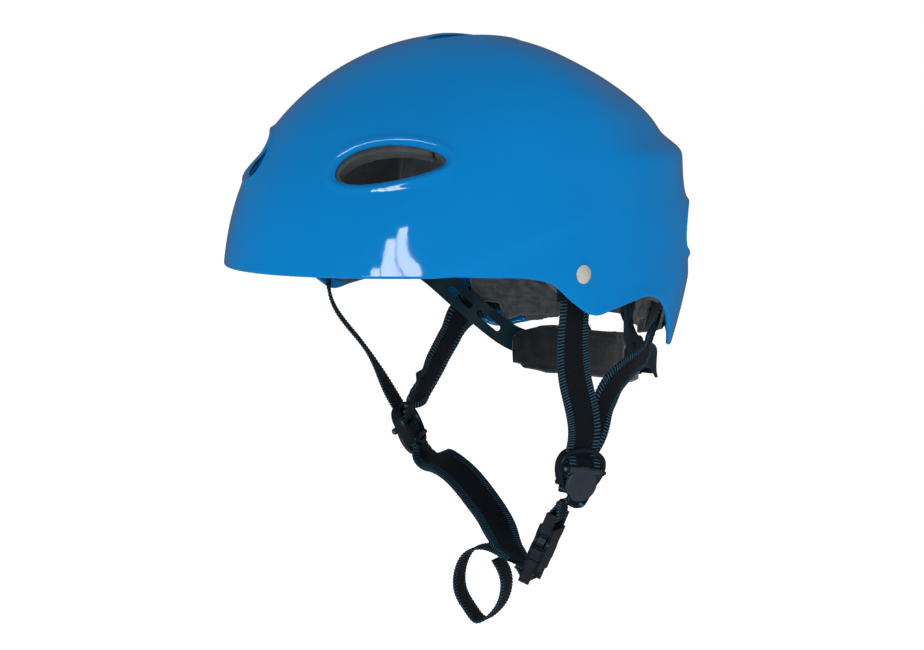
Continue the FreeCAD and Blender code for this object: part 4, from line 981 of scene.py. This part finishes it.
def wrap_rows(frame_of, height, tail, layer):
    """Webbing that comes down one side, goes round a bar and comes back up the other side."""
    r = 1.5 + 0.25 + WEB_THICK / 2
    points = [(0, height + tail, layer), (0, height + 7.0, layer), (0, height + 2.4, r * 0.93)]
    points += [(0, height - r * math.sin(a), r * math.cos(a)) for a in np.linspace(0.25, math.pi - 0.25, 5)]
    points += [(0, height + 2.4, -r * 0.93), (0, height + 7.0, -layer), (0, height + tail, -layer)]
    return ribbon_rows([(frame_of.at(*p), frame_of.axes[0]) for p in points], pitch=0.4)


def build_lower_straps():
    """Double webbing below each divider, the tail and the wraps round the buckle's bars."""
    layer = WEB_THICK / 2 + 0.05
    frame_of = DIVIDER_LEFT
    route = [(frame_of.at(0, y, 0), frame_of.axes[0]) for y in (1.2, -4, -9, -14)]
    route.append((BUCKLE.at(0, 33.6, 0), BUCKLE.axes[0]))
    rows = ribbon_rows(route, layer), ribbon_rows(route, -layer), wrap_rows(BUCKLE, 24.6, 9.6, layer)
    piece = add_ribbons("lower_webbing_left", "webbing", "helmet", *rows)
    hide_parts("lower_strap_left")
    right = DIVIDER_RIGHT
    route = [(right.at(0, y, 0), right.axes[0]) for y in (1.2, -4, -9, -14)] + [
        ((-44, 25.0, -219), (0.30, -0.87, -0.38)),
        ((-20, 19, -224), (0.27, -0.87, -0.40)),
        ((4.4, 12.5, -235), (0.27, -0.87, -0.40)),
        ((24.6, 6.0, -246), (0.30, -0.87, -0.36)),
        ((41, -1.5, -256), (0.40, -0.86, -0.20)),
        (PLUG_WRAP.at(0, 8.0, 0), -BUCKLE.axes[0]),
    ]
    chin = add_ribbons("chin_webbing", "webbing", None, ribbon_rows(route, layer), ribbon_rows(route, -layer),
                       wrap_rows(PLUG_WRAP, 0.0, 8.6, layer))  # fmt: skip
    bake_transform(chin)
    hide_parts("chin_strap")
    wide, along = np.array([-0.50, 0.866, 0.0]), np.array([1.0, 0.5 / 0.866, 0.0])
    loop = [(25, -260.5), (17, -256.8), (7.5, -259), (2.6, -268), (2.2, -281), (8, -292.5), (12.6, -297.3),
            (17.5, -294.5), (24, -284), (24.5, -271), (20.5, -262.5)]  # fmt: skip
    route = [(along * x + np.array([13.5, -14.7, z]), wide) for x, z in loop]
    tail = add_ribbons("tail_webbing", "webbing", None, ribbon_rows(route))
    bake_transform(tail)
    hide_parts("strap_tail")


build_straps()
build_lower_straps()


# ------------------------------------------------------------------ hardware
def soften(node, width, segments=2):
    """Rounded edges on a moulded CAD node."""
    bevel = frame["nodes"][node].modifiers.new("edge", "BEVEL")
    bevel.width, bevel.segments = width * MM, segments
    bevel.limit_method, bevel.angle_limit = "ANGLE", math.radians(38)
    bevel.harden_normals = False


def build_hardware():
    """Moulded hardware that keeps its CAD shape."""
    for node in ("buckle_socket", "buckle_plug"):
        soften(node, 0.45, 3)
    for node in ("nape_gearbox", "nape_gearbox_cover"):
        soften(node, 0.5)
    for side in ("left", "right"):
        soften(f"front_strap_hanger_{side}", 0.4)
        soften(f"rear_strap_hanger_{side}", 0.4)


def swept_ring(frame_of, path, half_wide, half_deep, z=0.0, count=16):
    """Closed bar with a rounded section along a flat path in a hardware frame."""
    path = np.array(path, float)
    n = len(path)
    along = np.roll(path, -1, 0) - np.roll(path, 1, 0)
    along /= np.linalg.norm(along, axis=1, keepdims=True)
    out = np.stack([along[:, 1], -along[:, 0]], -1)
    points, faces = [], []
    for k in range(count):
        a = 2 * math.pi * k / count
        c, d = (math.copysign(abs(f) ** 0.55, f) for f in (math.cos(a), math.sin(a)))
        flat = path + out * (c * half_wide)
        points += [frame_of.at(x, y, z + d * half_deep) for x, y in flat]
    for k in range(count):
        for i in range(n):
            j, m = (i + 1) % n, (k + 1) % count
            faces.append((k * n + i, k * n + j, m * n + j, m * n + i))
    return points, faces


def lathe(frame_of, profile, centre, axis="z", count=40):
    """Solid of revolution in a hardware frame. The profile is pairs of (radius, height)."""
    points, faces = [], []
    for r, h in profile:
        for i in range(count):
            a = 2 * math.pi * i / count
            c, s = r * math.cos(a), r * math.sin(a)
            local = (c, s, h) if axis == "z" else (h, c, s)
            points.append(frame_of.at(*(np.array(centre) + local)))
    for k in range(len(profile) - 1):
        for i in range(count):
            j = (i + 1) % count
            faces.append((k * count + i, k * count + j, (k + 1) * count + j, (k + 1) * count + i))
    faces.append(list(range(count))[::-1])
    faces.append([(len(profile) - 1) * count + i for i in range(count)])
    return points, faces


def joined(*solids):
    """Several (points, faces) as one."""
    points, faces = [], []
    for spots, polygons in solids:
        faces += [[i + len(points) for i in f] for f in polygons]
        points += list(spots)
    return points, faces


def smooth_loop(corners, count=96):
    """Closed smooth curve through corners."""
    corners = np.array(corners, float)
    n = len(corners)
    made = []
    for k in range(count):
        t = k * n / count
        i, f = int(t), t - int(t)
        a, b, c, d = (corners[(i + j) % n] for j in (-1, 0, 1, 2))
        square, cube = 2 * a - 5 * b + 4 * c - d, 3 * b - a - 3 * c + d
        made.append(0.5 * (2 * b + (c - a) * f + square * f * f + cube * f**3))
    return np.array(made)


def build_dividers():
    """Each divider is an open ring with cross bars, and a domed round lever that clamps the webbing."""
    ring_path = smooth_loop([(0, 12.6), (-6.5, 11.7), (-11.8, 8.6), (-13.6, 3.6), (-12.4, -2.2), (-9.2, -7.6),
                             (-4.6, -10.6), (0, -11.2), (4.6, -10.6), (9.2, -7.6), (12.4, -2.2), (13.6, 3.6),
                             (11.8, 8.6), (6.5, 11.7)])  # fmt: skip
    for side, frame_of in (("left", DIVIDER_LEFT), ("right", DIVIDER_RIGHT)):
        body = f"divider_{side[0]}"
        solids = [swept_ring(frame_of, ring_path, 1.35, 3.3)]
        for half, end, centre in ((12.0, 12.6, (0, 0.8, 2.2)), (11.0, 11.4, (0, -7.4, -2.4))):
            profile = [(1.2, -end), (1.5, -half), (1.5, half), (1.2, end)]
            solids.append(lathe(frame_of, profile, centre, "x", 20))
        for x in (-11.3, 11.3):
            profile = [(1.5, x - 1.1), (1.9, x - 0.8), (1.9, x + 0.8), (1.5, x + 1.1)]
            solids.append(lathe(frame_of, profile, (0, 2.0, 5.2), "x", 24))
            solids.append(lathe(frame_of, [(1.9, 1.5), (1.9, 5.2)], (x, 2.0, 0), "z", 20))
        piece = add_mesh(f"divider_ring_{side}", *joined(*solids), "black_acetal", body)
        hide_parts(f"divider_{side}")
        dome = [(6.0, 3.9), (9.1, 3.9), (9.65, 4.3), (9.8, 5.0), (9.7, 5.7), (9.2, 6.25), (7.8, 6.75), (5.4, 7.1),
                (2.8, 7.3), (0.4, 7.35)]  # fmt: skip
        points, faces = lathe(frame_of, dome, (0, -5.6, 0), "z", 64)
        hub = lathe(frame_of, [(1.3, -10.5), (1.7, -10.1), (1.7, 10.1), (1.3, 10.5)], (0, 2.0, 5.4), "x", 24)
        disc = joined((points, faces), hub)
        lever = add_mesh(f"divider_disc_{side}", *disc, "lever_grey", f"lever_{side[0]}")
        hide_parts(f"divider_lever_{side}")
        wide = frame_of.axes[0]
        route = [(0, 10.2, -0.6), (0, 8.6, 1.2), (0, 5.4, 3.4), (0, 1.4, 4.6), (0, -2.2, 3.7)]
        rows = ribbon_rows([(frame_of.at(*p), wide) for p in route])
        add_ribbons(f"divider_webbing_{side}", "webbing", body, rows)


def build_arms():
    """Slotted headband arms, copied from the CAD nodes."""
    for side, sign in (("left", 1), ("right", -1)):
        arm = copy_node(f"headband_arm_{side}", f"fit_arm_{side}", None)
        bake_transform(arm)


def build_prongs():
    """Buckle prongs, copied from the CAD nodes with a small edge bevel."""
    for side, sign in (("left", 1), ("right", -1)):
        prong = copy_node(f"prong_{side}", f"buckle_prong_{side}", "plug")
        bevel = prong.modifiers.new("edge", "BEVEL")
        bevel.width, bevel.segments = 0.4 * MM, 2
        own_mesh(prong)


build_hardware()
build_dividers()
build_arms()
build_prongs()
